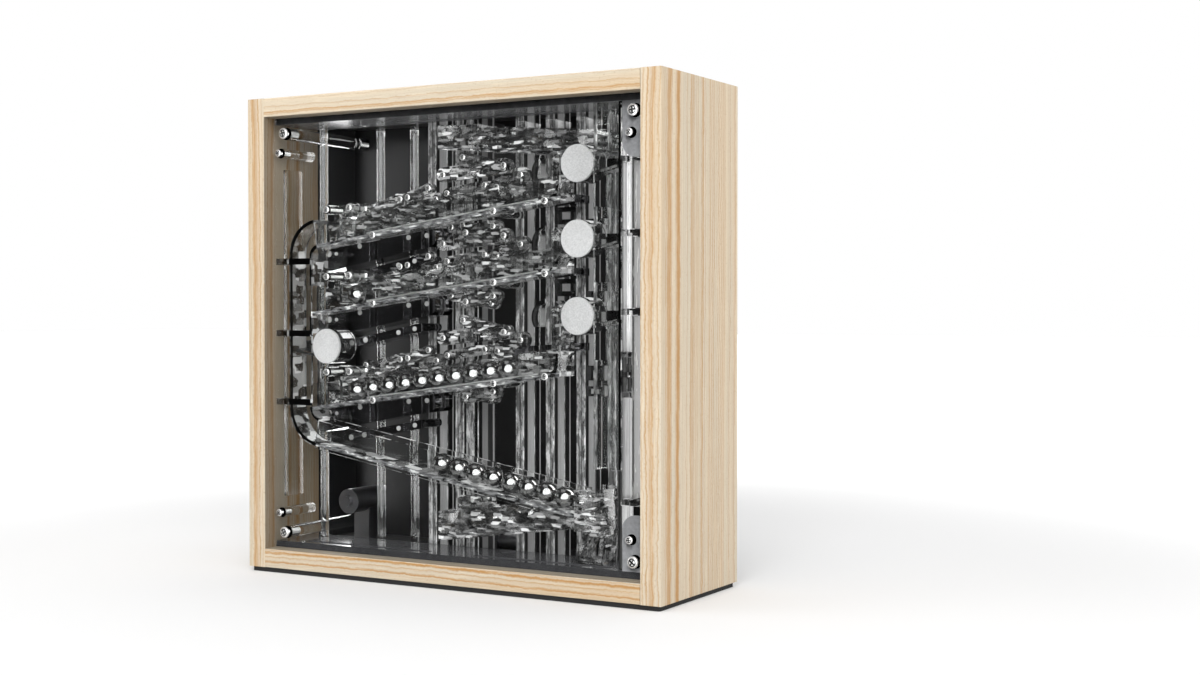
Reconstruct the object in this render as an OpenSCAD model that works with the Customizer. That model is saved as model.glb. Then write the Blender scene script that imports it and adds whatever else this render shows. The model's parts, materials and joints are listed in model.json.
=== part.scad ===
// Rolling ball clock: a wooden shadow box with a clear ball-track mechanism.
// Millimetres. X is to the right, -Y is the front, +Z is up.
// The origin is on the surface the clock stands on, under the middle of the case.

/* [Case] */
// Outer width of the wooden case
case_w = 300; // [298:1:312]
// Outer height of the wooden case
case_h = 300; // [300:1:308]
// Outer depth of the wooden case
case_d = 100; // [100:1:112]
// Thickness of the two upright side boards
stile_t = 13.5; // [12:0.5:14]
// Thickness of the top and bottom boards
rail_t = 12; // [10:0.5:12]
// Thickness of the dark base pad
pad_t = 3; // [2:0.5:5]
// How far the base pad stays inside the case outline
pad_inset = 1.6; // [1:0.2:4]
// Radius of the eased edges of the boards
edge_r = 0.8; // [0.4:0.2:1.2]

/* [Front panel] */
// How far the clear panel sits behind the front edge
panel_recess = 9; // [8.6:0.1:9.4]
// Thickness of the clear panel
panel_t = 3; // [2.6:0.1:3.2]
// Distance of the corner screws from the middle, sideways
corner_screw_x = 127.5; // [126:0.5:129]
// Distance of the corner screws from the board above or below
corner_screw_in = 10; // [9:0.5:11]

/* [Ball tracks] */
// Slope of the three counting tracks, degrees
track_slope = 7.8; // [7.4:0.1:8.2]
// Slope of the waiting track at the bottom, degrees
queue_slope = 10.1; // [9.9:0.1:10.3]
// Balls on the hour track
hour_count = 10; // [1:1:12]
// Balls on the ten-minute track
ten_count = 1; // [1:1:5]
// Balls on the waiting track
queue_count = 9; // [1:1:9]
// Balls on the return track
return_count = 6; // [1:1:6]

/* [Valves] */
// Radius of the round valve drums
drum_r = 11; // [10.4:0.1:11.2]
// Slope of the passage through a drum, degrees
drum_slope = 12; // [8:1:14]

/* [Hidden] */
$fn = 48;

// Half inches across, the standard size of the steel balls
ball_r = 6.35;
// Distance from ball to ball in a row
pitch = 12.75;

// Inner faces of the case; heights are from the underside of the wood
in_x = case_w / 2 - stile_t;
in_z0 = rail_t;
in_z1 = case_h - rail_t;
panel_y0 = -case_d / 2 + panel_recess;
panel_y1 = panel_y0 + panel_t;
plate_t = 4;
back_y0 = case_d / 2 - 6;
back_y1 = case_d / 2 - 3;

// Front layer of channels
f0 = -36.2;
f1 = -34.7;
r0 = -21.3;
r1 = -19.3;
front_c = -28;
// Second layer of channels
s0 = -18.8;
s1 = -17.3;
t0 = -3.9;
t1 = -2.4;
rear_c = -10.6;

// Counting tracks: where the lowest ball of each track rests
track_x = -77.8;
track_z = [217.3, 174.8, 114.3];
valve_z = [250, 206.4, 161.5];
valve_x = 88;
return_valve_x = -97;
return_valve_z = 142;
floor_v = -ball_r - 0.35;
floor_t = 2.5;
cheek_top = 8;
track_right = 76;
gate_dx = -0.7;
gate_dz = 12;

// Left drop tube
tube_x = -118;
tube_in = 7;
tube_out = 9;
bend_top_r = 14;
bend_top_z = track_z[0]
  - (bend_top_r - (tube_x + bend_top_r - track_x) * sin(track_slope)) / cos(track_slope);
bend_low_r = 16;

// Right shaft
shaft_x = 108;
shaft_low = 73;

// Waiting track and return track
queue_x = -12.6;
queue_z = 70.7;
bend_low_z = queue_z
  + (bend_low_r - (tube_x + bend_low_r - queue_x) * sin(queue_slope)) / cos(queue_slope);
turn_x = 86;
turn_in = 15.6;
turn_out = 17.1;
return_x = 3.5;
return_z = 35.8;
feed_x = -13.5;
feed_z = 273;
feed_slope = 4.5;

// Lift
lift_x = -13.5;
lift_y = 9;
screw_y = 27;

// Height of the counting track's ball line above a given x
function line_z(z, x) = z + (x - track_x) * tan(track_slope);
function queue_line(x) = queue_z - (x - queue_x) * tan(queue_slope);
function return_line(x) = return_z + (x - return_x) * tan(track_slope);
function floor_top(i, x) = line_z(track_z[i], x) + floor_v / cos(track_slope);
function feed_line(x) = feed_z - (x - feed_x) * tan(feed_slope);

module in_case() translate([0, 0, pad_t]) children();

// A flat shape drawn in x and z, given its thickness from y0 to y1
module plate_y(y0, y1) translate([0, y1, 0]) rotate([90, 0, 0]) linear_extrude(y1 - y0) children();

// A round rod along y
module rod_y(x, z, r, y0, y1) translate([x, y0, z]) rotate([-90, 0, 0]) cylinder(r = r, h = y1 - y0);

module box2(x0, x1, z0, z1) translate([x0, z0]) square([x1 - x0, z1 - z0]);

module round2(x0, x1, z0, z1, r) {
  box2(x0 + r, x1 - r, z0, z1);
  box2(x0, x1, z0 + r, z1 - r);
  for (x = [x0 + r, x1 - r], z = [z0 + r, z1 - r]) translate([x, z]) circle(r, $fn = 24);
}

// Part of a ring between two angles less than 180 degrees apart
module ring_part(r_in, r_out, a0, a1) {
  difference() {
    intersection() {
      circle(r_out, $fn = 64);
      polygon([[0, 0], 2 * r_out * [cos(a0), sin(a0)],
        2.2 * r_out * [cos((a0 + a1) / 2), sin((a0 + a1) / 2)],
        2 * r_out * [cos(a1), sin(a1)]]);
    }
    circle(r_in, $fn = 64);
  }
}

// ---- Case ----

module board_outline(w, d) round2(-w / 2, w / 2, -d / 2, d / 2, edge_r);

module stiles() color("burlywood") {
  for (s = [-1, 1]) translate([s * (case_w / 2 - stile_t / 2), 0, pad_t])
    linear_extrude(case_h) board_outline(stile_t, case_d);
}

module rails() color("burlywood") {
  for (z = [pad_t + rail_t / 2, pad_t + case_h - rail_t / 2]) translate([-in_x, 0, z])
    rotate([0, 90, 0]) linear_extrude(2 * in_x) board_outline(rail_t, case_d);
}

module base_pad() color("#161616") {
  linear_extrude(pad_t)
    round2(-case_w / 2 + pad_inset, case_w / 2 - pad_inset,
      -case_d / 2 + pad_inset, case_d / 2 - pad_inset, 2);
}

corner_z = [in_z0 + corner_screw_in, in_z1 - corner_screw_in];
corner_pos = [for (x = [-1, 1], z = corner_z) [x * corner_screw_x, z]];
guide_left = -in_x + 4.5;
guide_right = in_x - 11.5;
guide_in = 22.4;
guide_pos = [for (x = [guide_left, guide_right], z = [in_z0 + guide_in, in_z1 - guide_in]) [x, z]];
inlet_x = 96;
inlet_z = 30;

module back_panel() color("#262626") in_case() difference() {
  plate_y(back_y0, back_y1) difference() {
    box2(-in_x, in_x, in_z0, in_z1);
    for (p = corner_pos) translate(p) circle(1.7, $fn = 24);
    translate([inlet_x, inlet_z]) circle(5.6);
  }
}

module back_screws() color("silver") in_case() {
  for (p = corner_pos) {
    rod_y(p[0], p[1], 3, back_y1, back_y1 + 1.8);
    rod_y(p[0], p[1], 1.65, back_y0 - 8, back_y1);
  }
}

module power_inlet() color("#1a1a1a") in_case() difference() {
  union() {
    rod_y(inlet_x, inlet_z, 7, back_y1, back_y1 + 1.6);
    rod_y(inlet_x, inlet_z, 5.5, back_y0 - 9, back_y1);
  }
  rod_y(inlet_x, inlet_z, 2.9, back_y0 - 6, back_y1 + 2);
}

// ---- Front panel and its fixings ----

module front_panel() color("lightcyan", 0.3) in_case()
  plate_y(panel_y0, panel_y1) difference() {
    round2(-in_x + 0.5, in_x - 0.5, in_z0 + 0.5, in_z1 - 0.5, 2);
    for (p = corner_pos) translate(p) circle(2.1, $fn = 24);
    for (p = guide_pos) translate(p) circle(1.4, $fn = 24);
  }

// Pan head screw pointing back
module pan_screw(x, z, head_r, head_h, shank_r, y, len) {
  rod_y(x, z, head_r, y - head_h, y);
  rod_y(x, z, shank_r, y, y + len);
}

module corner_screws() color("silver") in_case()
  for (p = corner_pos) pan_screw(p[0], p[1], 3.5, 1.9, 2, panel_y0, panel_t + 9);

module corner_posts() color("gainsboro") in_case()
  for (p = corner_pos) difference() {
    rod_y(p[0], p[1], 4, panel_y1, back_y0);
    rod_y(p[0], p[1], 2, panel_y1 - 1, panel_y1 + 9);
    rod_y(p[0], p[1], 1.65, back_y0 - 8, back_y0 + 1);
  }

module guide_screws() color("silver") in_case()
  for (p = guide_pos) pan_screw(p[0], p[1], 2.3, 1.4, 1.3, panel_y0, panel_t + 7);

module guide_posts() color("gainsboro") in_case()
  for (p = guide_pos) difference() {
    rod_y(p[0], p[1], 3.2, panel_y1, -8);
    rod_y(p[0], p[1], 1.3, panel_y1 - 1, panel_y1 + 7);
  }

// Rounded corner pieces on the right, behind the front panel
module corner_brackets() color("gray", 0.6) in_case()
  for (s = [0, 1]) translate([0, 0, s * case_h]) mirror([0, 0, s])
    plate_y(panel_y1, panel_y1 + 1.5) difference() {
      union() {
        box2(in_x - 17.5, in_x, in_z0 + plate_t, in_z0 + 28);
        translate([in_x - 9.3, in_z0 + 28]) circle(8.2);
        box2(in_x - 9.3, in_x, in_z0 + plate_t, in_z0 + 36.2);
      }
      translate([corner_screw_x, corner_z[0]]) circle(4.05);
      translate([guide_right, in_z0 + guide_in]) circle(3.25);
    }

// ---- Inner frame ----

module floor_plate() color("#3a3a3c") in_case() difference() {
  translate([-in_x, panel_y1, in_z0]) cube([2 * in_x, -0.5 - panel_y1, plate_t]);
  for (x0 = [-116, 12]) translate([x0, -33.5, in_z0 - 1]) linear_extrude(plate_t + 2)
    round2(0, 96, 0, 6, 2.99);
}

module top_plate() color("#3a3a3c") in_case() difference() {
  translate([-in_x, panel_y1, in_z1 - plate_t]) cube([2 * in_x, -0.5 - panel_y1, plate_t]);
  translate([-60, -12, in_z1 - plate_t - 1]) linear_extrude(plate_t + 2) round2(0, 120, 0, 6, 2.99);
}

// Left faces, width and depth of the upright bars; the groove in the right face of each
upright_x = [-43.7, 22.4, 44.2, 66, 88.1];
upright_w = 6.8;
upright_d = 18.5;
upright_y0 = 0.5;
groove_y = 2.8;
groove_w = 9.6;
groove_t = 1.2;

module bar2() difference() {
  square([upright_w, upright_d]);
  translate([upright_w - groove_t, groove_y]) square([2 * groove_t, groove_w]);
}

// What the bars carry below each valve: a bridge block with a window between two bars,
// a side block and a window frame on the right of the second bar
block_y1 = 13;
bridge_z = [-33, -22.5];
side_z = [-39, -30];
frame_z = [-48.5, -42.5];
side_x = upright_x[3] + upright_w;
side_w = 10.2;
module bar_blocks2(z) {
  difference() {
    box2(upright_x[2] + 1, upright_x[3] + 1, z + bridge_z[0], z + bridge_z[1]);
    box2(upright_x[2] + 10, upright_x[3] - 3, z + bridge_z[0] + 3, z + bridge_z[1] - 3);
  }
  box2(side_x - 1, side_x + side_w, z + side_z[0], z + side_z[1]);
  difference() {
    box2(side_x - 1, side_x + side_w, z + frame_z[0], z + frame_z[1]);
    box2(side_x + 1.7, side_x + side_w - 2, z + frame_z[0] + 1.5, z + frame_z[1] - 1.5);
  }
}

// Hoop round a bar beside each valve, open at the bottom
hoop_out = 11.4;
hoop_in = 8.6;
module hoop2() difference() {
  circle(hoop_out, $fn = 96);
  circle(hoop_in, $fn = 96);
  box2(-12, 12, -12, -6);
}

// Clear bars between the bottom and top boards, and the blocks and hoops they carry
module uprights() color("gainsboro", 0.4) in_case() {
  for (x = upright_x) translate([x, upright_y0, in_z0]) linear_extrude(in_z1 - in_z0) bar2();
  for (z = valve_z) plate_y(upright_y0, block_y1) {
    bar_blocks2(z);
    translate([upright_x[2] + 1, z - 1]) hoop2();
  }
}

// Round rods and the flat bar beside the drop tube
bar_x = -131.6;
bar_t = 3;
bar_w = 15;
module side_rods() color("gainsboro", 0.4) in_case() {
  translate([-120.6, -9, in_z0 + plate_t]) cylinder(r = 2.6, h = in_z1 - in_z0 - 2 * plate_t);
  for (p = [[-84, 4], [-60, 8]]) translate([p[0], p[1], in_z0]) cylinder(r = 2.6, h = in_z1 - in_z0);
  translate([bar_x, f0, 45]) cube([bar_t, bar_w, 210]);
}

// ---- Counting tracks ----

module on_track(z) translate([track_x, z]) rotate(track_slope) children();

// Left end of a track: the minute track meets the top bend square to the ball path,
// the other two end at the wall of the drop tube
minute_left = (tube_x + bend_top_r - track_x) * cos(track_slope)
  + (bend_top_z - track_z[0]) * sin(track_slope);

module track_strip2(i, v0, v1) intersection() {
  on_track(track_z[i]) box2(i == 0 ? minute_left : -40, 200, v0, v1);
  box2(i == 0 ? -120 : tube_x + tube_out, track_right, 0, 300);
}

// Raised left end that carries the gate, and the riser at the valve
end_x0 = -102;
end_x1 = -70.5;
riser_x = 62;

// Side plate of a counting track: sloping strip, raised left end, riser on the right
module cheek2(i) {
  z = track_z[i];
  track_strip2(i, floor_v - floor_t, cheek_top);
  round2(end_x0, end_x1, z - 2, z + 15, 3.5);
  round2(riser_x, track_right, line_z(z, riser_x) - 6, valve_z[i] + 6, 2.5);
}

// Bores in a track's side plates: screws and the gate pin
stop_x = -96.5;
stop_dz = 11.3;
stay_x = 25.8;
function in_floor(i, x) = [x, line_z(track_z[i], x) + floor_v - 1.35];
function track_screw_pos(i) = [
  [stop_x, track_z[i] + stop_dz], in_floor(i, -60), in_floor(i, stay_x), in_floor(i, 66)];
screw_bore = 1.05;
spacer_r = 2.8;
gate_pin_r = 1.5;

module track_front_cheeks() color("white", 0.3) in_case()
  for (i = [0:2]) plate_y(f0, f1) difference() {
    cheek2(i);
    for (p = track_screw_pos(i)) translate(p) circle(screw_bore, $fn = 24);
    translate([track_x + gate_dx, track_z[i] + gate_dz]) circle(gate_pin_r, $fn = 24);
  }

module track_rear_cheeks() color("white", 0.3) in_case()
  for (i = [0:2]) plate_y(r0, r1) difference() {
    cheek2(i);
    for (p = track_screw_pos(i)) translate(p) circle(screw_bore, $fn = 24);
    translate([track_x + gate_dx, track_z[i] + gate_dz]) circle(gate_pin_r, $fn = 24);
  }

module track_floors() color("white", 0.4) in_case()
  for (i = [0:2]) plate_y(f1, r0) difference() {
    track_strip2(i, floor_v - floor_t, floor_v);
    for (p = track_screw_pos(i)) translate(p) circle(screw_bore, $fn = 24);
  }

// Round spacers: between the side plates at the left, and back to the uprights
module track_spacers() color("gainsboro", 0.5) in_case()
  for (i = [0:2]) {
    difference() {
      rod_y(stop_x, track_z[i] + stop_dz, spacer_r, f1, r0);
      rod_y(stop_x, track_z[i] + stop_dz, screw_bore, f1 - 1, r0 + 1);
    }
    difference() {
      rod_y(stay_x, in_floor(i, stay_x)[1], spacer_r, r1, upright_y0);
      rod_y(stay_x, in_floor(i, stay_x)[1], screw_bore, r1 - 1, r1 + 6);
    }
  }

module track_screws() color("silver") in_case() {
  rod_y(gate_x, gate_z, gate_pin_r, s0, t1);
  for (i = [0:2]) {
    for (p = track_screw_pos(i))
      pan_screw(p[0], p[1], 2.2, 1.1, screw_bore, f0, r1 - f0 + (p[0] == stay_x ? 5 : 0));
    pan_screw(track_x + gate_dx, track_z[i] + gate_dz, 2.2, 1.1, gate_pin_r, f0, r1 - f0);
  }
}

// Sloping pieces that lead a ball from a valve drum down to its track
chute_x0 = 68.5;
chute_x1 = 75.5;
module entry_chutes() color("white", 0.4) in_case()
  for (i = [0:2]) plate_y(f1, r0)
    polygon([[chute_x1, valve_z[i] - 8.5], [chute_x1, valve_z[i] - 11],
      [chute_x1 - 2, floor_top(i, chute_x1 - 2)],
      [chute_x0, floor_top(i, chute_x0)], [chute_x0, floor_top(i, chute_x0) + 0.6],
      [chute_x0 + 3, floor_top(i, chute_x0 + 3) + 2.2]]);

// ---- Release units under the left part of each counting track ----

module unit2(z) difference() {
  union() {
    polygon([[-118, z - 18.5], [-111.3, z - 12.54], [-28, z - 1.1], [-25, z - 3.5], [-25, z - 11],
      [-28, z - 13.5], [-52, z - 17], [-112, z - 28.5], [-118, z - 22.5]]);
    translate([-112, z - 18.5]) circle(6);
    translate([-112, z - 22.5]) circle(6);
  }
  translate([-108.5, z - 16.4]) circle(2, $fn = 32);
}

// Sloping link below a release unit; its left end stays clear of the return valve
link_x0 = -89.5;
link_x1 = -36;
link_r = 2.6;
link_slope = 10.8;
function link_z(x) = -31 + (x - link_x0) * tan(link_slope);
module link2(z) translate([link_x0, z + link_z(link_x0)]) {
  circle(link_r, $fn = 32);
  rotate(link_slope) box2(0, (link_x1 - link_x0) / cos(link_slope), -link_r, link_r);
  translate([link_x1 - link_x0, link_z(link_x1) - link_z(link_x0)]) circle(link_r, $fn = 32);
}

// Dark beam across two upright bars below a valve
module beam2(z) polygon([[34, z - 23.5], [34, z - 20.5], [37, z - 18.5], [75, z - 16.3], [75, z - 20.8]]);

module release_units() color("#2a2a2e", 0.8) in_case() {
  for (i = [0:2]) plate_y(s0, upright_y0) {
    unit2(track_z[i] + 0.3);
    link2(track_z[i]);
  }
  for (z = valve_z) plate_y(s0, upright_y0) beam2(z);
}

// Pins on the front of a release unit and its link: x, height from the ball line, radius
unit_pins = [[-108.5, -16.1, 2], [-102.5, -16.1, 1.2], [-83.5, -11.5, 1.6], [-45, -6.8, 1.6], [-31, -5.9, 1.6],
  [link_x0, link_z(link_x0), 1.7], [-79, link_z(-79), 1.7], [-53, link_z(-53), 1.5], [-40.4, link_z(-40.4), 1.5]];

module release_pins() color("silver") in_case()
  for (i = [0:2]) {
    for (p = unit_pins) rod_y(p[0], track_z[i] + p[1], p[2], r1 + 0.05, s0);
    rod_y(unit_pins[0][0], track_z[i] + unit_pins[0][1], 1.98, s0, -12);
  }

// ---- Left drop tube ----

// Walls of the bends at the top and bottom, and the straight wall on the left
module tube_path2() {
  translate([tube_x + bend_top_r, bend_top_z]) {
    ring_part(bend_top_r + tube_in, bend_top_r + tube_out, 90 + track_slope, 180);
    ring_part(bend_top_r - tube_out, bend_top_r - tube_in, 90 + track_slope, 180);
  }
  box2(tube_x - tube_out, tube_x - tube_in, bend_low_z, bend_top_z);
  translate([tube_x + bend_low_r, bend_low_z]) {
    ring_part(bend_low_r + tube_in, bend_low_r + tube_out, 180, 270 - queue_slope);
    ring_part(bend_low_r - tube_out, bend_low_r - tube_in, 180, 270 - queue_slope);
  }
}

// Room for the hour track's lower left corner
module hour_corner2() box2(tube_x + tube_out, tube_x + tube_out + 9, hour_entry - 9.6, hour_entry + 9);

module tube_cheek2() difference() {
  union() {
    translate([tube_x + bend_top_r, bend_top_z])
      ring_part(bend_top_r - tube_out, bend_top_r + tube_out, 90 + track_slope, 180);
    box2(tube_x - tube_out, tube_x + tube_out, bend_low_z, bend_top_z);
    translate([tube_x + bend_low_r, bend_low_z])
      ring_part(bend_low_r - tube_out, bend_low_r + tube_out, 180, 270 - queue_slope);
  }
  hour_corner2();
}

module drop_tube_cheeks() color("white", 0.3) in_case() {
  plate_y(f0, f1) tube_cheek2();
  plate_y(r0, r1) tube_cheek2();
}

ten_entry = line_z(track_z[1], tube_x + tube_out);
hour_entry = line_z(track_z[2], tube_x + tube_out);

module drop_tube_walls() color("white", 0.45) in_case() plate_y(f1, r0) {
  difference() {
    tube_path2();
    hour_corner2();
  }
  box2(tube_x + tube_in, tube_x + tube_out, ten_entry + 10, bend_top_z);
  box2(tube_x + tube_in, tube_x + tube_out, return_valve_z + 8, ten_entry - 9.5);
}

// Clamps that hold the drop tube to the left board
module tube_brackets() color("gainsboro", 0.5) in_case()
  for (z = [106, 150, 196]) translate([0, 0, z - 2]) linear_extrude(4) difference() {
    translate([-in_x, f0 - 1.2]) square([in_x + tube_x + tube_out, r1 - f0 + 1.2]);
    translate([tube_x - tube_out, f0]) square([2 * tube_out, r1 - f0 + 1]);
    translate([bar_x, f0]) square([bar_t, bar_w]);
  }

// ---- Right shaft ----

module shaft_plates() color("white", 0.3) in_case() {
  plate_y(f0, f1) box2(shaft_x - tube_out, shaft_x + tube_out, shaft_low, in_z1 - plate_t);
  plate_y(r0, r1) difference() {
    box2(shaft_x - tube_out, shaft_x + tube_out, shaft_low, in_z1 - plate_t);
    box2(shaft_x - tube_in, shaft_x + tube_in, feed_line(shaft_x) + floor_v - 1, feed_line(shaft_x) + 10);
  }
}

// Open side of the shaft at each valve, from below the lowered finger to above the drum passage
wall_cuts = [for (z = valve_z) [z - 25.5, z + 8]];

module shaft_walls() color("white", 0.45) in_case() plate_y(f1, r0) {
  box2(shaft_x - tube_out, shaft_x - tube_in, wall_cuts[0][1], in_z1 - plate_t);
  box2(shaft_x - tube_out, shaft_x - tube_in, wall_cuts[1][1], wall_cuts[0][0]);
  box2(shaft_x - tube_out, shaft_x - tube_in, wall_cuts[2][1], wall_cuts[1][0]);
  box2(shaft_x - tube_out, shaft_x - tube_in, shaft_low, wall_cuts[2][0]);
  box2(shaft_x + tube_in, shaft_x + tube_out, in_z0 + plate_t, in_z1 - plate_t);
}

module shaft_brackets() color("gainsboro", 0.5) in_case()
  for (z = [55, 164, 209, 251]) translate([shaft_x + tube_out, f0, z - 1.8])
    cube([in_x - shaft_x - tube_out, r1 - f0, 3.6]);

// Open block on the right side of the shaft, two windows by two
module shaft_window_block() color("gainsboro", 0.5) in_case()
  translate([shaft_x + tube_out, 0, 0]) difference() {
    translate([0, f0, 115]) cube([7, r1 - f0, 26]);
    for (y = [f0 + 1.8, f0 + 9.4], z = [118, 129.5])
      translate([-1, y, z]) cube([9, 5.7, 8.5]);
  }

// ---- Waiting track, turn and return track ----

module on_queue() translate([queue_x, queue_z]) rotate(-queue_slope) children();

queue_left = (tube_x + bend_low_r - bend_low_r * sin(queue_slope) - queue_x) / cos(queue_slope);
queue_right = (turn_x - queue_x) / cos(queue_slope);

module queue_strip2(v0, v1) intersection() {
  on_queue() box2(queue_left, queue_right + 10, v0, v1);
  box2(-120, turn_x, 0, 120);
}

low_top = 7.4;
low_drop = 4;
module queue_cheeks() color("white", 0.3) in_case() {
  plate_y(f0, f1) queue_strip2(floor_v - low_drop, low_top);
  plate_y(r0, r1) queue_strip2(floor_v - low_drop, low_top);
}

module queue_floor() color("white", 0.45) in_case()
  plate_y(f1, r0) queue_strip2(floor_v - floor_t, floor_v);

turn_y = (front_c + rear_c) / 2;
turn_top = queue_line(turn_x) + low_top;
turn_low = return_line(turn_x) + floor_v - low_drop;

// Half-round turn from the front layer to the second layer
module turn_shell() color("white", 0.4) in_case() {
  translate([turn_x, turn_y, 0]) {
    difference() {
      translate([0, 0, turn_low]) cylinder(r = turn_out, h = turn_top - turn_low, $fn = 96);
      translate([0, 0, turn_low - 1]) cylinder(r = turn_in, h = 40, $fn = 96);
      translate([-30, -30, turn_low - 1]) cube([30, 60, 40]);
    }
    intersection() {
      translate([0, 0, turn_low]) cylinder(r = turn_in + 0.6, h = turn_top - turn_low, $fn = 96);
      translate([0, -20, turn_low]) cube([30, 40, 30]);
      translate([0, 0, (queue_line(turn_x) + return_line(turn_x)) / 2 + floor_v - 3])
        rotate([-18.5, 0, 0]) translate([-5, -25, 0]) cube([30, 50, 2.2]);
    }
    intersection() {
      translate([0, 0, turn_low]) cylinder(r = 2, h = turn_top - turn_low);
      translate([0, -5, turn_low]) cube([5, 10, 40]);
    }
  }
}

// Tapered foot under the turn
module turn_pedestal() color("white", 0.4) in_case()
  plate_y(-27, -11) difference() {
    polygon([[80, in_z0 + plate_t], [99, in_z0 + plate_t], [101, turn_low], [87.5, turn_low]]);
    polygon([[84, in_z0 + plate_t + 3], [96.5, in_z0 + plate_t + 3], [98, turn_low - 4], [89.5, turn_low - 4]]);
  }

module on_return() translate([return_x, return_z]) rotate(track_slope) children();
module on_feed() translate([feed_x, feed_z]) rotate(-feed_slope) children();

// A strip along the return track or the top feed track, cut upright at both ends
module return_strip2(x0, x1, v0, v1) intersection() {
  on_return() box2(-50, 120, v0, v1);
  box2(x0, x1, 0, 120);
}
module feed_strip2(x0, x1, v0, v1) intersection() {
  on_feed() box2(-50, 180, v0, v1);
  box2(x0, x1, 150, 400);
}

gate_x = return_x + gate_dx;
gate_z = return_z + gate_dz;

feed_top = 6.2;

module return_side2(x0) difference() {
  union() {
    return_strip2(x0, turn_x, floor_v - low_drop, low_top);
    round2(x0 < lift_x ? -8 : x0, 10, return_z - 2, return_z + 15, 2.5);
  }
  translate([gate_x, gate_z]) circle(gate_pin_r, $fn = 24);
}

module rear_channel_cheeks() color("white", 0.3) in_case() {
  plate_y(s0, s1) return_side2(lift_x - 9);
  plate_y(t0, t1) return_side2(lift_x + 9);
  plate_y(s0, s1) feed_strip2(lift_x - 9, shaft_x - tube_in, floor_v - floor_t, feed_top);
  plate_y(t0, t1) feed_strip2(lift_x + 7, shaft_x + tube_out, floor_v - floor_t, feed_top);
}

// Floors of the return and feed tracks, their end walls and the sills of the lift
module rear_channel_floors() color("white", 0.45) in_case() {
  plate_y(s1, t0) {
    return_strip2(lift_x - 9, turn_x, floor_v - floor_t, floor_v);
    return_strip2(lift_x - 9, lift_x - 7.2, floor_v, low_top);
    feed_strip2(lift_x - 9, shaft_x + tube_out, floor_v - floor_t, floor_v);
    feed_strip2(lift_x - 9, lift_x - 7.2, floor_v, feed_top);
    feed_strip2(shaft_x + tube_in, shaft_x + tube_out, floor_v, feed_top);
  }
  plate_y(t0, 0) {
    return_strip2(lift_x - 7, lift_x + 7, floor_v - floor_t, floor_v);
    feed_strip2(lift_x - 7, lift_x + 7, floor_v - floor_t, floor_v);
  }
  plate_y(r1, s1) feed_strip2(shaft_x - tube_in, shaft_x + tube_in, floor_v - floor_t, floor_v);
}

// ---- Lift ----

lift_low = return_line(lift_x) + floor_v;

// Square tube with a slot at the back and openings for the ball at the front
module lift_tube() color("white", 0.35) in_case() {
  difference() {
    translate([lift_x, lift_y, in_z0]) linear_extrude(in_z1 - in_z0) difference() {
      translate([-9, -9]) square([18, 18.5]);
      square([14, 14], center = true);
      translate([-2.6, 5]) square([5.2, 6]);
    }
    translate([lift_x - 7, -3, lift_low - 1]) cube([14, 8, 20]);
    translate([lift_x - 7, -3, feed_z + floor_v - 1]) cube([14, 8, 16]);
  }
  // Upper bearing of the screw
  translate([0, 0, in_z1 - 9]) linear_extrude(5) difference() {
    translate([lift_x - 7, lift_y + 9.5]) square([14, 14]);
    translate([lift_x, screw_y]) circle(2.06);
  }
}

// Right-angle gear motor at the foot of the screw
module lift_motor() color("#77777a") in_case() difference() {
  union() {
    translate([lift_x - 9, screw_y - 8, in_z0]) cube([18, 17, 10]);
    translate([lift_x + 9, screw_y, in_z0 + 5.5]) rotate([0, 90, 0]) cylinder(r = 5.5, h = 24);
    translate([lift_x, screw_y, in_z0 + 10]) cylinder(r = 4.5, h = 1.5);
  }
  translate([lift_x, screw_y, in_z0 + 3]) cylinder(r = 2.06, h = 12);
}

module lift_screw() color("silver") in_case() {
  translate([lift_x, screw_y, in_z0 + 3.2]) cylinder(r = 2, h = in_z1 - in_z0 - 7.4);
  translate([lift_x, screw_y, in_z0 + 11.8]) cylinder(r = 3, h = in_z1 - in_z0 - 21.2);
}

module lift_carriage() color("#444448") in_case() difference() {
  union() {
    // Platform that slopes to the front
    translate([lift_x - 6.6, 0, 0]) rotate([90, 0, 90]) linear_extrude(13.2)
      polygon([[lift_y - 6.6, lift_low - 5], [lift_y - 6.6, lift_low - 0.6],
        [lift_y + 6.6, lift_low + 0.6], [lift_y + 6.6, lift_low - 5]]);
    // Web through the slot and the nut on the screw
    translate([lift_x - 2.1, lift_y + 5, lift_low - 3.2]) cube([4.2, 10, 3]);
    translate([lift_x, screw_y, lift_low - 2.6]) cylinder(r = 6, h = 9);
  }
  translate([lift_x, screw_y, lift_low - 3]) cylinder(r = 3.06, h = 16);
}

// Round motor of the release mechanism, lower left
module release_motor() color("#55555a") in_case() {
  rod_y(-97, 41, 8, -14, 14);
  rod_y(-97, 41, 3.5, -17, -14);
  translate([-103, -0.5, in_z0]) cube([12, 12, 24]);
}

// ---- Valves ----

arm_y0 = -19.3;
arm_y1 = -16.3;

module arm2(x, z, dir) difference() {
  union() {
    translate([x, z]) circle(4.2);
    if (dir > 0) box2(x, shaft_x + tube_out, z - 3.2, z + 3.2);
    else box2(tube_x - tube_out, x, z - 3.2, z + 3.2);
  }
  translate([x, z]) circle(2.06, $fn = 32);
}

module valve_arms() color("gainsboro", 0.6) in_case() plate_y(arm_y0, arm_y1) {
  for (z = valve_z) arm2(valve_x, z, 1);
  arm2(return_valve_x, return_valve_z, -1);
}

drum_f = -35;
drum_b = -19.6;

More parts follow.
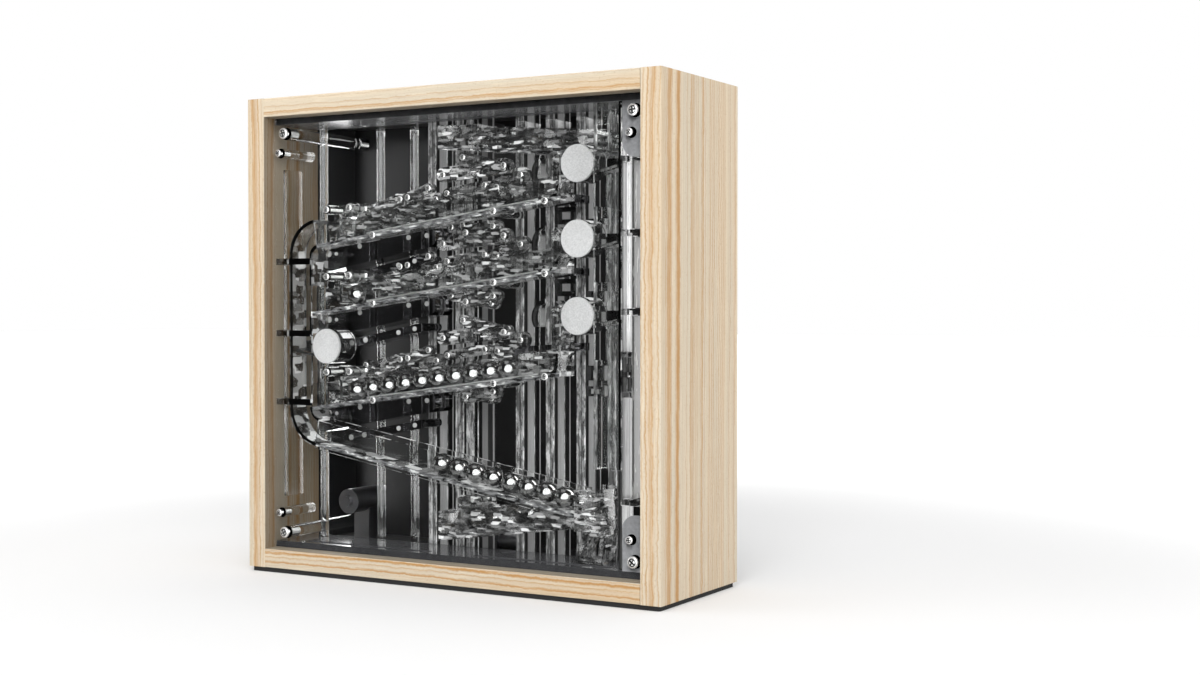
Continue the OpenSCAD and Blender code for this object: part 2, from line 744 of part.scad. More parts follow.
// Drum with a passage for one ball and a catch finger that reaches into the shaft
module drum(x, z, dir) in_case() translate([x, 0, z]) mirror([dir < 0 ? 1 : 0, 0, 0]) {
  plate_y(drum_f, drum_b - 1.5) rotate(drum_slope) difference() {
    circle(drum_r);
    box2(-20, 20, -6.9, 6.9);
  }
  plate_y(drum_b - 1.5, drum_b) circle(drum_r);
  plate_y(-34.3, -21.7) rotate(drum_slope) box2(7, 24.6, -8.9, -6.9);
  rod_y(0, 0, 2, drum_b, arm_y1 + 2.2);
  rod_y(0, 0, 3.4, arm_y1 + 0.3, arm_y1 + 1.9);
}

module cap(x, z) in_case() rod_y(x, z, drum_r, drum_f - 1.6, drum_f);

module minute_drum() color("silver") drum(valve_x, valve_z[0], 1);
module ten_minute_drum() color("silver") drum(valve_x, valve_z[1], 1);
module hour_drum() color("silver") drum(valve_x, valve_z[2], 1);
module return_drum() color("silver") drum(return_valve_x, return_valve_z, -1);
module minute_cap() color("whitesmoke") cap(valve_x, valve_z[0]);
module ten_minute_cap() color("whitesmoke") cap(valve_x, valve_z[1]);
module hour_cap() color("whitesmoke") cap(valve_x, valve_z[2]);
module return_cap() color("whitesmoke") cap(return_valve_x, return_valve_z);

// ---- Gates ----

// Hanging gate that holds back the lowest ball
module gate(x, z, y0, y1) color("gainsboro") in_case()
  translate([x, 0, z]) plate_y(y0, y1) difference() {
    union() {
      circle(3);
      rotate(-142) box2(0, 8.5, -1.5, 1.5);
      box2(-8.4, -6.4, -16.5, -3.6);
      translate([-7.4, -16.5]) circle(1, $fn = 24);
    }
    circle(1.56, $fn = 32);
  }

module track_gate(i) gate(track_x + gate_dx, track_z[i] + gate_dz, f1 + 0.4, r0 - 0.4);
module minute_gate() track_gate(0);
module ten_minute_gate() track_gate(1);
module hour_gate() track_gate(2);
module return_gate() gate(gate_x, gate_z, s1 + 0.4, t0 - 0.4);

// ---- Balls ----

first_waiting_x = 87.9;

module ball(x, y, z) translate([x, y, z]) sphere(r = ball_r);

module hour_balls() color("silver") in_case()
  for (k = [0:hour_count - 1])
    ball(track_x + k * pitch * cos(track_slope), front_c, track_z[2] + k * pitch * sin(track_slope));

module ten_minute_ball() color("silver") in_case()
  for (k = [0:ten_count - 1])
    ball(track_x + k * pitch * cos(track_slope), front_c, track_z[1] + k * pitch * sin(track_slope));

module lift_ball() color("silver") in_case() ball(lift_x, lift_y, lift_low + ball_r + 0.05);

module queue_balls() color("silver") in_case()
  for (k = [0:queue_count - 1])
    ball(first_waiting_x - k * pitch * cos(queue_slope), front_c,
      queue_line(first_waiting_x) + k * pitch * sin(queue_slope));

module return_balls() color("silver") in_case()
  for (k = [0:return_count - 1])
    ball(return_x + k * pitch * cos(track_slope), rear_c, return_z + k * pitch * sin(track_slope));

stiles();
rails();
base_pad();
back_panel();
back_screws();
power_inlet();
front_panel();
corner_screws();
corner_posts();
guide_screws();
guide_posts();
corner_brackets();
floor_plate();
top_plate();
uprights();
side_rods();
track_front_cheeks();
track_rear_cheeks();
track_floors();
track_spacers();
track_screws();
entry_chutes();
release_units();
release_pins();
drop_tube_cheeks();
drop_tube_walls();
tube_brackets();
shaft_plates();
shaft_walls();
shaft_brackets();
shaft_window_block();
queue_cheeks();
queue_floor();
turn_shell();
turn_pedestal();
rear_channel_cheeks();
rear_channel_floors();
lift_tube();
lift_motor();
release_motor();
valve_arms();
minute_gate();
ten_minute_gate();
hour_gate();
return_gate();
minute_drum();
minute_cap();
ten_minute_drum();
ten_minute_cap();
hour_drum();
hour_cap();
return_drum();
return_cap();
lift_carriage();
lift_ball();
lift_screw();
hour_balls();
ten_minute_ball();
queue_balls();
return_balls();
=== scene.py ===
import json
import math
import random

import bmesh
import bpy
from mathutils import Matrix, Vector


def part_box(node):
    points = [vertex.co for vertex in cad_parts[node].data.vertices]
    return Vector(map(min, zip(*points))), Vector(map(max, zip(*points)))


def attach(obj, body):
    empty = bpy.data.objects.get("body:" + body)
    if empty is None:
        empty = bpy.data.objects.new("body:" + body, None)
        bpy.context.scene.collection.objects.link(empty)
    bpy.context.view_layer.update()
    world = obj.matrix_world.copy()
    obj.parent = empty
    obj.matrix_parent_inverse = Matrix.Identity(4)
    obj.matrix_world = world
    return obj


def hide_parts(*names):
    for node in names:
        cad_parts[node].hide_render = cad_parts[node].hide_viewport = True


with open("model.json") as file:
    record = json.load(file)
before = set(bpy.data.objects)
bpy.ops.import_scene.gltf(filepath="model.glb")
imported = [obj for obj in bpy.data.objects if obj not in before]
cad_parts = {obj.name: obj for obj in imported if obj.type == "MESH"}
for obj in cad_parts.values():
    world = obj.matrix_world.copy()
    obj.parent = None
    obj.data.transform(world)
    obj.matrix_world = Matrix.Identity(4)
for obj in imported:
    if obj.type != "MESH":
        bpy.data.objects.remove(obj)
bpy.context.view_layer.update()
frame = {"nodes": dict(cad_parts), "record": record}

random.seed(7)
scene = bpy.context.scene
nodes_of = frame["nodes"]
MM = 0.001
PAD = 3.0  # thickness of the base pad, mm


# ---------------------------------------------------------------- colours and node helpers
def lin(r, g, b):
    """A colour in linear light from its 0 to 255 display values."""
    def one(c):
        c /= 255
        return c / 12.92 if c <= 0.04045 else ((c + 0.055) / 1.055) ** 2.4

    return (one(r), one(g), one(b), 1)


class Tree:
    """Short names for the nodes of one node tree."""

    def __init__(self, tree):
        self.t = tree

    def link(self, a, b):
        self.t.links.new(a, b)

    def feed(self, socket, v):
        """Sets a socket to a constant or links another socket to it."""
        if isinstance(v, (int, float, tuple)):
            socket.default_value = v
        else:
            self.link(v, socket)

    def node(self, kind, **props):
        n = self.t.nodes.new(kind)
        for k, v in props.items():
            setattr(n, k, v)
        return n

    def coords(self, kind="Object"):
        return self.node("ShaderNodeTexCoord").outputs[kind]

    def split(self, vec):
        """The x, y and z of a vector."""
        sep = self.node("ShaderNodeSeparateXYZ")
        self.link(vec, sep.inputs[0])
        return sep.outputs

    def mapping(self, vec, scale=(1, 1, 1), loc=(0, 0, 0), rot=(0, 0, 0)):
        m = self.node("ShaderNodeMapping")
        m.inputs["Scale"].default_value = scale
        m.inputs["Location"].default_value = loc
        m.inputs["Rotation"].default_value = rot
        self.link(vec, m.inputs["Vector"])
        return m.outputs["Vector"]

    def noise(self, vec, scale, detail=3.0, rough=0.5):
        n = self.node("ShaderNodeTexNoise")
        n.inputs["Scale"].default_value = scale
        n.inputs["Detail"].default_value = detail
        n.inputs["Roughness"].default_value = rough
        self.link(vec, n.inputs["Vector"])
        return n.outputs["Fac"]

    def cell_colour(self, vec, scale, randomness=1.0):
        """One random colour for each cell of a pattern of square-cornered cells."""
        n = self.node("ShaderNodeTexVoronoi", distance="CHEBYCHEV")
        n.inputs["Scale"].default_value = 1.0
        n.inputs["Randomness"].default_value = randomness
        self.link(self.mapping(vec, scale), n.inputs["Vector"])
        return n.outputs["Color"]

    def math(self, op, a, b=None, clamp=False):
        n = self.node("ShaderNodeMath", operation=op, use_clamp=clamp)
        for i, v in enumerate((a, b)):
            if v is not None:
                self.feed(n.inputs[i], v)
        return n.outputs[0]

    def vector(self, op, a, b=None, out="Vector"):
        n = self.node("ShaderNodeVectorMath", operation=op)
        for i, v in enumerate((a, b)):
            if v is not None:
                self.feed(n.inputs[i], v)
        return n.outputs[out]

    def ramp(self, fac, stops, mode="LINEAR"):
        n = self.node("ShaderNodeValToRGB")
        n.color_ramp.interpolation = mode
        el = n.color_ramp.elements
        while len(el) < len(stops):
            el.new(0.5)
        for e, (pos, col) in zip(el, stops):
            e.position = pos
            e.color = col
        self.link(fac, n.inputs["Fac"])
        return n.outputs["Color"]

    def greys(self, fac, stops, mode="CONSTANT"):
        """A ramp of greys; by default bands with sharp borders."""
        return self.ramp(fac, [(at, (v, v, v, 1)) for at, v in stops], mode)

    def span(self, fac, lo, hi):
        n = self.node("ShaderNodeMapRange")
        n.inputs["To Min"].default_value = lo
        n.inputs["To Max"].default_value = hi
        self.link(fac, n.inputs["Value"])
        return n.outputs["Result"]

    def soft_step(self, value, lo, hi, to_lo=0.0, to_hi=1.0):
        """Goes smoothly from to_lo at lo to to_hi at hi."""
        n = self.node("ShaderNodeMapRange", interpolation_type="SMOOTHSTEP")
        for key, v in (("From Min", lo), ("From Max", hi), ("To Min", to_lo), ("To Max", to_hi)):
            n.inputs[key].default_value = v
        self.link(value, n.inputs["Value"])
        return n.outputs["Result"]

    def local(self, value, start, length):
        """Turns a coordinate into 0 to 1 over a stated stretch."""
        return self.math("DIVIDE", self.math("SUBTRACT", value, start), length, True)

    def mix(self, fac, a, b, blend="MIX"):
        n = self.node("ShaderNodeMix", data_type="RGBA", blend_type=blend)
        for socket, v in ((n.inputs["Factor"], fac), (n.inputs[6], a), (n.inputs[7], b)):
            self.feed(socket, v)
        return n.outputs[2]

    def level(self, fac, a, b):
        """Mix of two values."""
        n = self.node("ShaderNodeMix", data_type="FLOAT")
        for i, v in ((0, fac), (2, a), (3, b)):
            self.feed(n.inputs[i], v)
        return n.outputs[0]


class Material(Tree):
    """A new material, with its shader and its output."""

    def __init__(self, name):
        self.mat = bpy.data.materials.new(name)
        self.mat.use_nodes = True
        super().__init__(self.mat.node_tree)
        self.p = self.t.nodes["Principled BSDF"]
        self.out = self.t.nodes["Material Output"]

    def bump(self, height, strength, distance):
        n = self.node("ShaderNodeBump")
        n.inputs["Strength"].default_value = strength
        n.inputs["Distance"].default_value = distance
        self.link(height, n.inputs["Height"])
        self.link(n.outputs["Normal"], self.p.inputs["Normal"])

    def set(self, **values):
        for k, v in values.items():
            self.p.inputs[k.replace("_", " ")].default_value = v

    def over(self, fac, a, b):
        """Mixes two shaders, lets the result be the surface and returns it."""
        mix = self.node("ShaderNodeMixShader")
        self.link(fac, mix.inputs["Fac"])
        self.link(a, mix.inputs[1])
        self.link(b, mix.inputs[2])
        self.link(mix.outputs[0], self.out.inputs["Surface"])
        return mix.outputs[0]

    def facing(self, axis, lo, hi):
        """How far a face turns towards an axis, as a soft step between two sines."""
        normal = self.split(self.node("ShaderNodeNewGeometry").outputs["Normal"])
        return self.soft_step(self.math("ABSOLUTE", normal[axis]), lo, hi)

    def polished(self, shade, rough_lo, rough_hi, glow, grain):
        """A polished face of a stated shade, which mostly carries painted highlights and painted
        shade; its glow is painted light, an emission standing for light led through the sheet to
        this face.
        """
        face = self.node("ShaderNodeBsdfPrincipled")
        self.link(shade, face.inputs["Base Color"])
        self.link(shade, face.inputs["Emission Color"])
        face.inputs["Emission Strength"].default_value = glow
        self.link(self.span(grain, rough_lo, rough_hi), face.inputs["Roughness"])
        return face.outputs[0]


# ---------------------------------------------------------------- materials
FINE, MEDIUM, BROAD = 1050, 420, 70  # lines of the wood per metre across the grain
WOOD_BASE = [(0.36, lin(222, 206, 181)), (0.52, lin(212, 201, 181)), (0.66, lin(212, 192, 163))]
FINE_BROWN = lin(183, 152, 114)
MEDIUM_BROWN = lin(188, 146, 96)
RING_BROWN = lin(188, 142, 86)
PALE_FIBRE = lin(240, 226, 200)
DARK_SPECK = lin(176, 148, 112)
SHADED_WOOD = lin(52, 44, 34)
INNER_BLACK = lin(15, 15, 16)
MIDDLE_Z = 0.153  # half height of the case with its pad, m
INNER_X, INNER_Z = 0.1367, 0.1382  # just outside the inner faces, from the middle, m
INNER_BLACK_Y = 0.004  # the inner faces are black behind this depth, m
TINT = (0.945, 0.95, 0.945, 1)  # clear acrylic
# Fronts and depths of the patterns on the bars, the shaft's walls and the drums, m
BAR_Y0, BAR_DEPTH = 0.0005, 0.0185
SHAFT_Y0, SHAFT_DEPTH = -0.0345, 0.0130
DRUM_Y0, DRUM_DEPTH = -0.035, 0.0155
OUTER_WALL_X = 0.110  # left of the shaft's outer wall, m
# Strong rings: place across the grain in metres, half width, depth of colour
RINGS = (
    (-0.0405, 0.0006, 0.9),
    (-0.0372, 0.0005, 0.6),
    (-0.0344, 0.0008, 1.0),
    (0.0840, 0.0007, 0.8),
    (0.1000, 0.0012, 0.9),
    (0.1095, 0.0024, 1.0),
    (0.1265, 0.0007, 0.7),
    (0.1290, 0.0006, 0.5),
    (0.1415, 0.0009, 0.8),
    (0.1510, 0.0007, 0.6),
    (0.2470, 0.0006, 0.8),
)


def seed_of(name):
    return (sum(ord(c) for c in name) % 97) * 0.37


def wood(name, along):
    """Ash with dense thin brown lines along one axis and here and there a strong orange ring."""
    w = Material(name)
    x, y, z = w.split(w.coords())
    if along == "Z":
        a, b, c, side = y, w.math("ABSOLUTE", x), z, w.math("SIGN", x)
    else:
        a, b, c, side = w.math("ABSOLUTE", z), y, x, w.math("SIGN", w.math("SUBTRACT", z, 0.1))
    # Across the grain the end edge and the wide face share the same rings, turning the corner
    across = w.math("ADD", a, w.math("MULTIPLY", b, 0.93))
    comb = w.node("ShaderNodeCombineXYZ")
    for i, v in enumerate((across, b, c)):
        w.link(v, comb.inputs[i])
    vec = comb.outputs[0]
    seed = seed_of(name)

    def waver(to, amount, stretch, loc, *noise):
        wave = w.noise(w.mapping(vec, stretch, loc), *noise)
        return w.math("ADD", to, w.math("MULTIPLY", w.math("SUBTRACT", wave, 0.5), amount))

    r = waver(across, 0.009, (5, 5, 1.6), (seed, 0, 0), 2.0, 2.0)
    r = waver(r, 0.0030, (30, 30, 34), (0, seed, 0), 2.0, 3.0, 0.55)
    r = waver(r, 0.0011, (500, 500, 430), (0, 0, seed), 1.0, 2.0, 0.6)

    def lines(per_metre, keep, seed_shift, thin):
        scaled = w.math("ADD", w.math("MULTIPLY", r, per_metre), seed_shift)
        level = w.node("ShaderNodeTexWhiteNoise", noise_dimensions="1D")
        line = w.math("ADD", w.math("FLOOR", scaled), w.math("MULTIPLY", side, 171.3))
        w.link(line, level.inputs["W"])
        shape = w.greys(w.math("FRACT", scaled),
                        [(0.0, 0), (thin, 0.05), (thin + 0.25, 0.7), (0.9, 1), (1.0, 0)], "LINEAR")
        strength = w.math("SUBTRACT", level.outputs["Value"], keep, True)
        return w.math("MULTIPLY", shape, w.math("MULTIPLY", strength, 1 / (1 - keep)))

    def ring(centre, half, level):
        gap = w.math("ABSOLUTE", w.math("SUBTRACT", r, centre))
        rise = w.math("SUBTRACT", 1.3, w.math("DIVIDE", gap, half), True)
        return w.math("MULTIPLY", rise, level)

    fine = lines(FINE, 0.1, seed, 0.4)
    medium = lines(MEDIUM, 0.12, seed + 7, 0.45)
    broad = lines(BROAD, 0.55, seed + 3, 0.62)
    for centre, half, level in RINGS:
        broad = w.math("MAXIMUM", broad, ring(centre, half, level))
    broken = w.noise(w.mapping(vec, (60, 60, 9), (seed, seed, 0)), 2.0, 2.0)
    bands = w.noise(w.mapping(vec, (46, 46, 2.0), (2, seed, 0)), 1.0, 2.0)
    col = w.ramp(bands, WOOD_BASE)
    col = w.mix(w.math("MULTIPLY", fine, 0.36, True), col, FINE_BROWN)
    col = w.mix(w.math("MULTIPLY", medium, w.span(broken, 0.45, 1.25), True), col, MEDIUM_BROWN)
    col = w.mix(broad, col, RING_BROWN)
    pale = w.noise(w.mapping(vec, (900, 900, 40), (3, 0, 0)), 1.0, 3.0, 0.6)
    pale = w.math("MULTIPLY", w.math("SUBTRACT", pale, 0.52, True), 2.2, True)
    col = w.mix(pale, col, PALE_FIBRE)
    fibre = w.noise(w.mapping(vec, (1300, 1300, 60)), 1.0, 4.0, 0.65)
    speck = w.noise(w.mapping(vec, (900, 900, 620)), 1.0, 2.0, 0.5)
    dark = w.math("MULTIPLY", w.math("SUBTRACT", speck, 0.60, True), 3.2, True)
    col = w.mix(dark, col, DARK_SPECK)
    # Painted shade: the inner faces are darkened towards a shaded brown at the front; further back
    # they are black
    if along == "Z":
        inner = w.math("LESS_THAN", b, INNER_X)
    else:
        inner = w.math("LESS_THAN", w.math("ABSOLUTE", w.math("SUBTRACT", z, MIDDLE_Z)), INNER_Z)
    col = w.mix(w.math("MULTIPLY", inner, 0.55), col, SHADED_WOOD)
    col = w.mix(w.math("MULTIPLY", inner, w.math("GREATER_THAN", y, INNER_BLACK_Y)), col, INNER_BLACK)
    w.link(col, w.p.inputs["Base Color"])
    w.link(w.span(fibre, 0.42, 0.60), w.p.inputs["Roughness"])
    w.bump(fibre, 0.25, 0.0002)
    w.set(Specular_IOR_Level=0.35)
    return w.mat


def clear_tree(name, tint=TINT, rough_lo=0.0, rough_hi=0.006, passes=0.92, ripple=0.012, ior=1.49):
    """Clear acrylic: the material and its surface. It lets the lamps through, and its polish
    varies a little."""
    w = Material(name)
    vec = w.coords()
    smear = w.noise(w.mapping(vec, (30, 30, 55)), 1.0, 3.0)
    w.link(w.span(smear, rough_lo, rough_hi), w.p.inputs["Roughness"])
    w.set(Base_Color=tint, Transmission_Weight=1.0, IOR=ior)
    w.bump(w.noise(w.mapping(vec, (14, 14, 14)), 1.0, 1.0), ripple, 0.002)
    shadow = w.node("ShaderNodeLightPath").outputs["Is Shadow Ray"]
    see = w.node("ShaderNodeBsdfTransparent")
    see.inputs["Color"].default_value = (passes * tint[0], passes * tint[1], passes * tint[2], 1)
    return w, w.over(shadow, w.p.outputs[0], see.outputs[0])


def clear(*args, **more):
    return clear_tree(*args, **more)[0].mat


def cells(w, vec, scale, tilt):
    """Small flat cuts: every cell of a random pattern leans its own way."""
    lean = w.vector("SUBTRACT", w.cell_colour(vec, scale, 0.75), (0.5, 0.5, 0.5))
    lean = w.vector("MULTIPLY", lean, (tilt, tilt, tilt))
    both = w.vector("ADD", w.node("ShaderNodeNewGeometry").outputs["Normal"], lean)
    w.link(w.vector("NORMALIZE", both), w.p.inputs["Normal"])


# Painted highlights and painted shade of the cells on a facetted sheet and on a sawn edge: share
# of the cells, shade
FACET_SHADES = [(0.0, 0.004), (0.50, 0.04), (0.68, 0.16), (0.84, 0.42), (0.94, 0.95)]
SAWN_SHADES = [(0.0, 0.01), (0.34, 0.16), (0.62, 0.45), (0.84, 1.0)]


def sawn_tree(name, amount=0.75, cut=None):
    """Clear sheet with painted highlights and painted shade in short pale and dark stretches on
    its sawn edges, most of all on the upper ones. With cut, a scale and a tilt, its faces are
    facetted as well, and some of their cells carry painted highlights and painted shade."""
    w, both = clear_tree(name)
    vec = w.coords()
    if cut:
        cells(w, vec, *cut)
    normal = w.split(w.node("ShaderNodeNewGeometry").outputs["Normal"])
    grain = w.noise(w.mapping(vec, (300, 300, 300)), 1.0, 3.0, 0.6)
    pick = w.node("ShaderNodeSeparateColor")
    w.link(w.cell_colour(vec, (190, 300, 620) if cut else (150, 150, 210)), pick.inputs[0])
    shade = w.greys(pick.outputs[0], FACET_SHADES if cut else SAWN_SHADES)
    # Painted highlight: the upper edges are lighter, as light falls from above
    upper = w.soft_step(normal["Z"], -0.6, 0.5, 0.12, 1.0)
    edge = w.math("SUBTRACT", 1.0, w.facing("Y", 0.3, 0.7))
    fac = w.math("MULTIPLY", w.math("MULTIPLY", edge, upper), amount)
    if cut:
        # Painted highlights and painted shade on some cells of the faces
        some = w.math("MULTIPLY", w.math("GREATER_THAN", pick.outputs[1], 0.40), 0.6)
        fac = w.math("MAXIMUM", fac, w.math("MULTIPLY", some, w.math("SUBTRACT", 1.0, edge)))
    return w, w.over(fac, both, w.polished(shade, 0.15, 0.35, 0.30, grain))


def sawn(*args):
    return sawn_tree(*args)[0].mat


def bars(name, start, width, period, front_stops, side_stops):
    """Upright clear bars with painted reflections: sharp grey, black and white stripes as thick
    clear bars show them, with painted highlight spots and a painted glow.
    """
    w, both = clear_tree(name)
    vec = w.coords()
    x, y, _ = w.split(vec)
    fine = w.noise(w.mapping(vec, (1400, 900, 70)), 1.0, 3.0, 0.6)
    spots = w.noise(w.mapping(vec, (420, 420, 95), (1, 5, 2)), 1.0, 3.0, 0.65)
    # Half a millimetre of lead keeps the bar's first stripe clear of the seam of the pattern
    u = w.math("SUBTRACT", x, start - 0.0005)
    if period:
        u = w.math("MODULO", u, period)
    u = w.local(u, 0.0005, width)
    # Painted highlight and painted shade spots over the front stripes
    lit = w.greys(spots, [(0.0, 0.25), (0.46, 0.8), (0.57, 1.6)])
    front = w.mix(1.0, w.greys(u, front_stops), lit, "MULTIPLY")
    calm = w.greys(fine, [(0.3, 0.85), (0.7, 1.1)], "LINEAR")
    side = w.mix(1.0, w.greys(w.local(y, BAR_Y0, BAR_DEPTH), side_stops), calm, "MULTIPLY")
    both = w.over(w.math("MULTIPLY", w.facing("X", 0.7, 0.95), 0.97), both,
                  w.polished(side, 0.3, 0.45, 0.16, fine))
    w.over(w.math("MULTIPLY", w.facing("Y", 0.7, 0.95), 0.85), both,
           w.polished(front, 0.12, 0.3, 0.16, fine))
    return w.mat


def shaft(name):
    """Walls of the right shaft with painted light: the outer wall is satin, with a painted
    near-white reflection over a span of heights and painted grey and black bands below; the front
    edges of the others carry painted pale flecks of highlight."""
    w, both = clear_tree(name)
    vec = w.coords()
    x, y, z = w.split(vec)
    streak = w.noise(w.mapping(vec, (40, 300, 5)), 1.0, 4.0, 0.6)
    depth = w.local(y, SHAFT_Y0, SHAFT_DEPTH)
    high = w.greys(depth, [(0.0, 0.02), (0.10, 0.26), (0.42, 0.8), (0.74, 0.25), (0.88, 0.05)])
    low = w.greys(depth, [(0.0, 0.004), (0.12, 0.07), (0.24, 0.12), (0.46, 0.08), (0.62, 0.004),
                          (0.74, 0.12), (0.86, 0.004)])
    shade = w.mix(w.soft_step(z, 0.140, 0.165), low, high)
    # The painted light is uneven in patches
    uneven_light = w.noise(w.mapping(vec, (60, 420, 36)), 1.0, 3.0, 0.6)
    uneven_light = w.greys(uneven_light, [(0.0, 0.45), (0.44, 0.85), (0.52, 1.15)])
    shade = w.mix(1.0, shade, uneven_light, "MULTIPLY")
    outer = w.math("GREATER_THAN", x, OUTER_WALL_X)
    both = w.over(w.math("MULTIPLY", w.facing("X", 0.6, 0.9), outer), both,
                  w.polished(shade, 0.25, 0.4, 0.35, streak))
    # Painted pale flecks of highlight on the front edges
    flecks = w.noise(w.mapping(vec, (500, 60, 110)), 1.0, 3.0, 0.6)
    flecks = w.greys(flecks, [(0.0, 0.05), (0.43, 0.22), (0.53, 0.4), (0.62, 0.9)])
    front = w.math("MULTIPLY", w.facing("Y", 0.7, 0.95), w.math("SUBTRACT", 0.85, outer, True))
    w.over(front, both, w.polished(flecks, 0.25, 0.4, 0.2, streak))
    return w.mat


def satin(name):
    """Milky clear sheet with fine pale upright marks and a faint painted glow."""
    w = Material(name)
    vec = w.coords()
    run = w.noise(w.mapping(vec, (300, 300, 9)), 1.0, 3.0, 0.6)
    marks = w.noise(w.mapping(vec, (500, 420, 60), (2, 0, 0), (0.3, 0, 0)), 1.0, 2.0, 0.6)
    base = w.ramp(run, [(0.3, lin(48, 48, 47)), (0.7, lin(80, 80, 78))])
    shade = w.mix(w.math("GREATER_THAN", marks, 0.62), base, lin(128, 128, 126))
    w.link(w.polished(shade, 0.45, 0.6, 0.06, run), w.out.inputs["Surface"])
    return w.mat


def ledge(name):
    """Sawn sheet seen on edge, with painted reflections on its front: long grey stretches with
    short white and black ones.
    """
    w, both = sawn_tree(name)
    run = w.noise(w.mapping(w.coords(), (120, 60, 500)), 1.0, 3.0, 0.6)
    # Painted highlights and painted shade along the front face
    shade = w.ramp(run, [(0.0, (0.02, 0.02, 0.02, 1)), (0.41, (0.14, 0.14, 0.145, 1)),
                         (0.5, (0.34, 0.34, 0.345, 1)), (0.6, (0.9, 0.9, 0.9, 1))], "CONSTANT")
    w.over(w.math("MULTIPLY", w.facing("Y", 0.7, 0.95), 0.8), both,
           w.polished(shade, 0.2, 0.4, 0.2, run))
    return w.mat


def drum(name, x, z, shift):
    """Clear valve drum whose round side shows a painted dark ring, a painted highlight and painted
    grey bands of reflection; shift is the share of a turn by which they lie further round."""
    w, both = clear_tree(name)
    vec = w.coords()
    px, py, pz = w.split(vec)
    dx, dz = w.math("SUBTRACT", px, x * MM), w.math("SUBTRACT", pz, (z + PAD) * MM)
    turn = w.math("ARCTAN2", dz, dx)
    turn = w.math("MULTIPLY", w.math("DIVIDE", turn, math.pi), 0.5)
    turn = w.math("ADD", turn, 0.5 - shift, True)
    grain = w.noise(w.mapping(vec, (500, 500, 500)), 1.0, 3.0, 0.6)
    # Painted highlight, painted shade and painted reflection bands round the drum and along its
    # depth
    around = w.greys(turn, [(0.0, 0.02), (0.36, 0.22), (0.42, 0.05), (0.455, 0.3), (0.52, 0.12),
                            (0.57, 1.0), (0.64, 0.02), (0.66, 0.6), (0.68, 0.01), (0.9, 0.02)])
    depth = w.greys(w.local(py, DRUM_Y0, DRUM_DEPTH),
                    [(0.0, 0.02), (0.22, 1.0), (0.86, 0.1), (0.93, 1.3)])
    spots = w.greys(grain, [(0.0, 0.6), (0.45, 1), (0.6, 1.25)])
    shade = w.mix(1.0, w.mix(1.0, around, depth, "MULTIPLY"), spots, "MULTIPLY")
    edge = w.math("SUBTRACT", 1.0, w.facing("Y", 0.3, 0.7))
    w.over(w.math("MULTIPLY", edge, 0.85), both, w.polished(shade, 0.08, 0.2, 0.4, grain))
    return w.mat


def metal(name, col, rough_lo, rough_hi, scale=(400, 60, 400), bump=0.05, metallic=1.0):
    w = Material(name)
    grain = w.noise(w.mapping(w.coords(), scale), 1.0, 4.0, 0.6)
    darker = (col[0] * 0.8, col[1] * 0.8, col[2] * 0.8, 1)
    w.set(Metallic=metallic)
    w.link(w.mix(w.span(grain, 0.0, 0.35), col, darker), w.p.inputs["Base Color"])
    w.link(w.span(grain, rough_lo, rough_hi), w.p.inputs["Roughness"])
    if bump:
        w.bump(grain, bump, 0.0001)
    return w.mat


def plain(name, dark, light, rough_lo, rough_hi, scale=900, bump=0.15, coat=0.0, spec=0.5):
    """An even surface of two near greys with a fine grain."""
    w = Material(name)
    vec = w.coords()
    fine = w.noise(vec, scale, 3.0, 0.6)
    broad = w.noise(vec, 22, 3.0)
    both = w.math("MULTIPLY", w.math("ADD", fine, broad), 0.5)
    stops = [(0.3, lin(*dark)), (0.7, lin(*light))]
    w.link(w.ramp(both, stops), w.p.inputs["Base Color"])
    w.link(w.span(both, rough_lo, rough_hi), w.p.inputs["Roughness"])
    w.set(Coat_Weight=coat, Coat_Roughness=0.05, Specular_IOR_Level=spec)
    w.bump(fine, bump, 0.0001)
    return w.mat


WOOD_UP = wood("wood_upright", "Z")
WOOD_ACROSS = wood("wood_across", "X")
CLEAR = clear("clear_acrylic")
SHEET = sawn("sheet_acrylic")
CUT = sawn("cut_acrylic", 0.6, ((130, 130, 105), 0.5))
LEDGE = ledge("ledge_acrylic")
# The panel bends light little, so that no lamp is mirrored over the whole front
PANEL = clear("panel_acrylic", (0.985, 0.99, 0.99, 1), 0.0, 0.002, 1.0, 0.0005, 1.12)
SMOKED = clear("smoked_acrylic", (0.20, 0.20, 0.21, 1), 0.0, 0.03, 0.6)
GREY_SEE = clear("grey_translucent", (0.52, 0.53, 0.54, 1), 0.12, 0.25, 0.8)
# Bars and the lift tube: first left face, width and pitch in metres, bands of painted reflection
# on front and side
BAR = bars("grooved_acrylic", -0.0437, 0.0068, 0.02195,
           [(0.0, 0.55), (0.08, 0.38), (0.42, 0.12), (0.60, 0.26), (0.78, 0.62), (0.92, 0.004)],
           [(0.0, 0.004), (0.15, 0.62), (0.67, 0.004), (0.90, 0.8), (0.96, 0.01)])
TUBE = bars("tube_acrylic", -0.0225, 0.0180, None,
            [(0.0, 0.55), (0.05, 0.4), (0.2, 0.2), (0.31, 0.7), (0.355, 0.004), (0.45, 0.40),
             (0.79, 0.004), (0.93, 0.7), (0.97, 0.01)],
            [(0.0, 0.004), (0.15, 0.30), (0.5, 0.03), (0.8, 0.5), (0.9, 0.01)])
SHAFT = shaft("shaft_acrylic")
SATIN = satin("satin_sheet")
BACK = plain("dark_panel", (9, 9, 10), (17, 17, 18), 0.45, 0.6, spec=0.2)
PLATE = plain("dark_plate", (58, 58, 60), (84, 84, 86), 0.10, 0.22, 300, 0.04, 0.5)
PLATE_TOP = plain("top_plate_satin", (120, 120, 122), (150, 150, 152), 0.18, 0.32, 300, 0.04, 0.3)
PAD_DARK = plain("base_pad", (20, 20, 20), (34, 34, 34), 0.75, 0.9, 1500, 0.4)
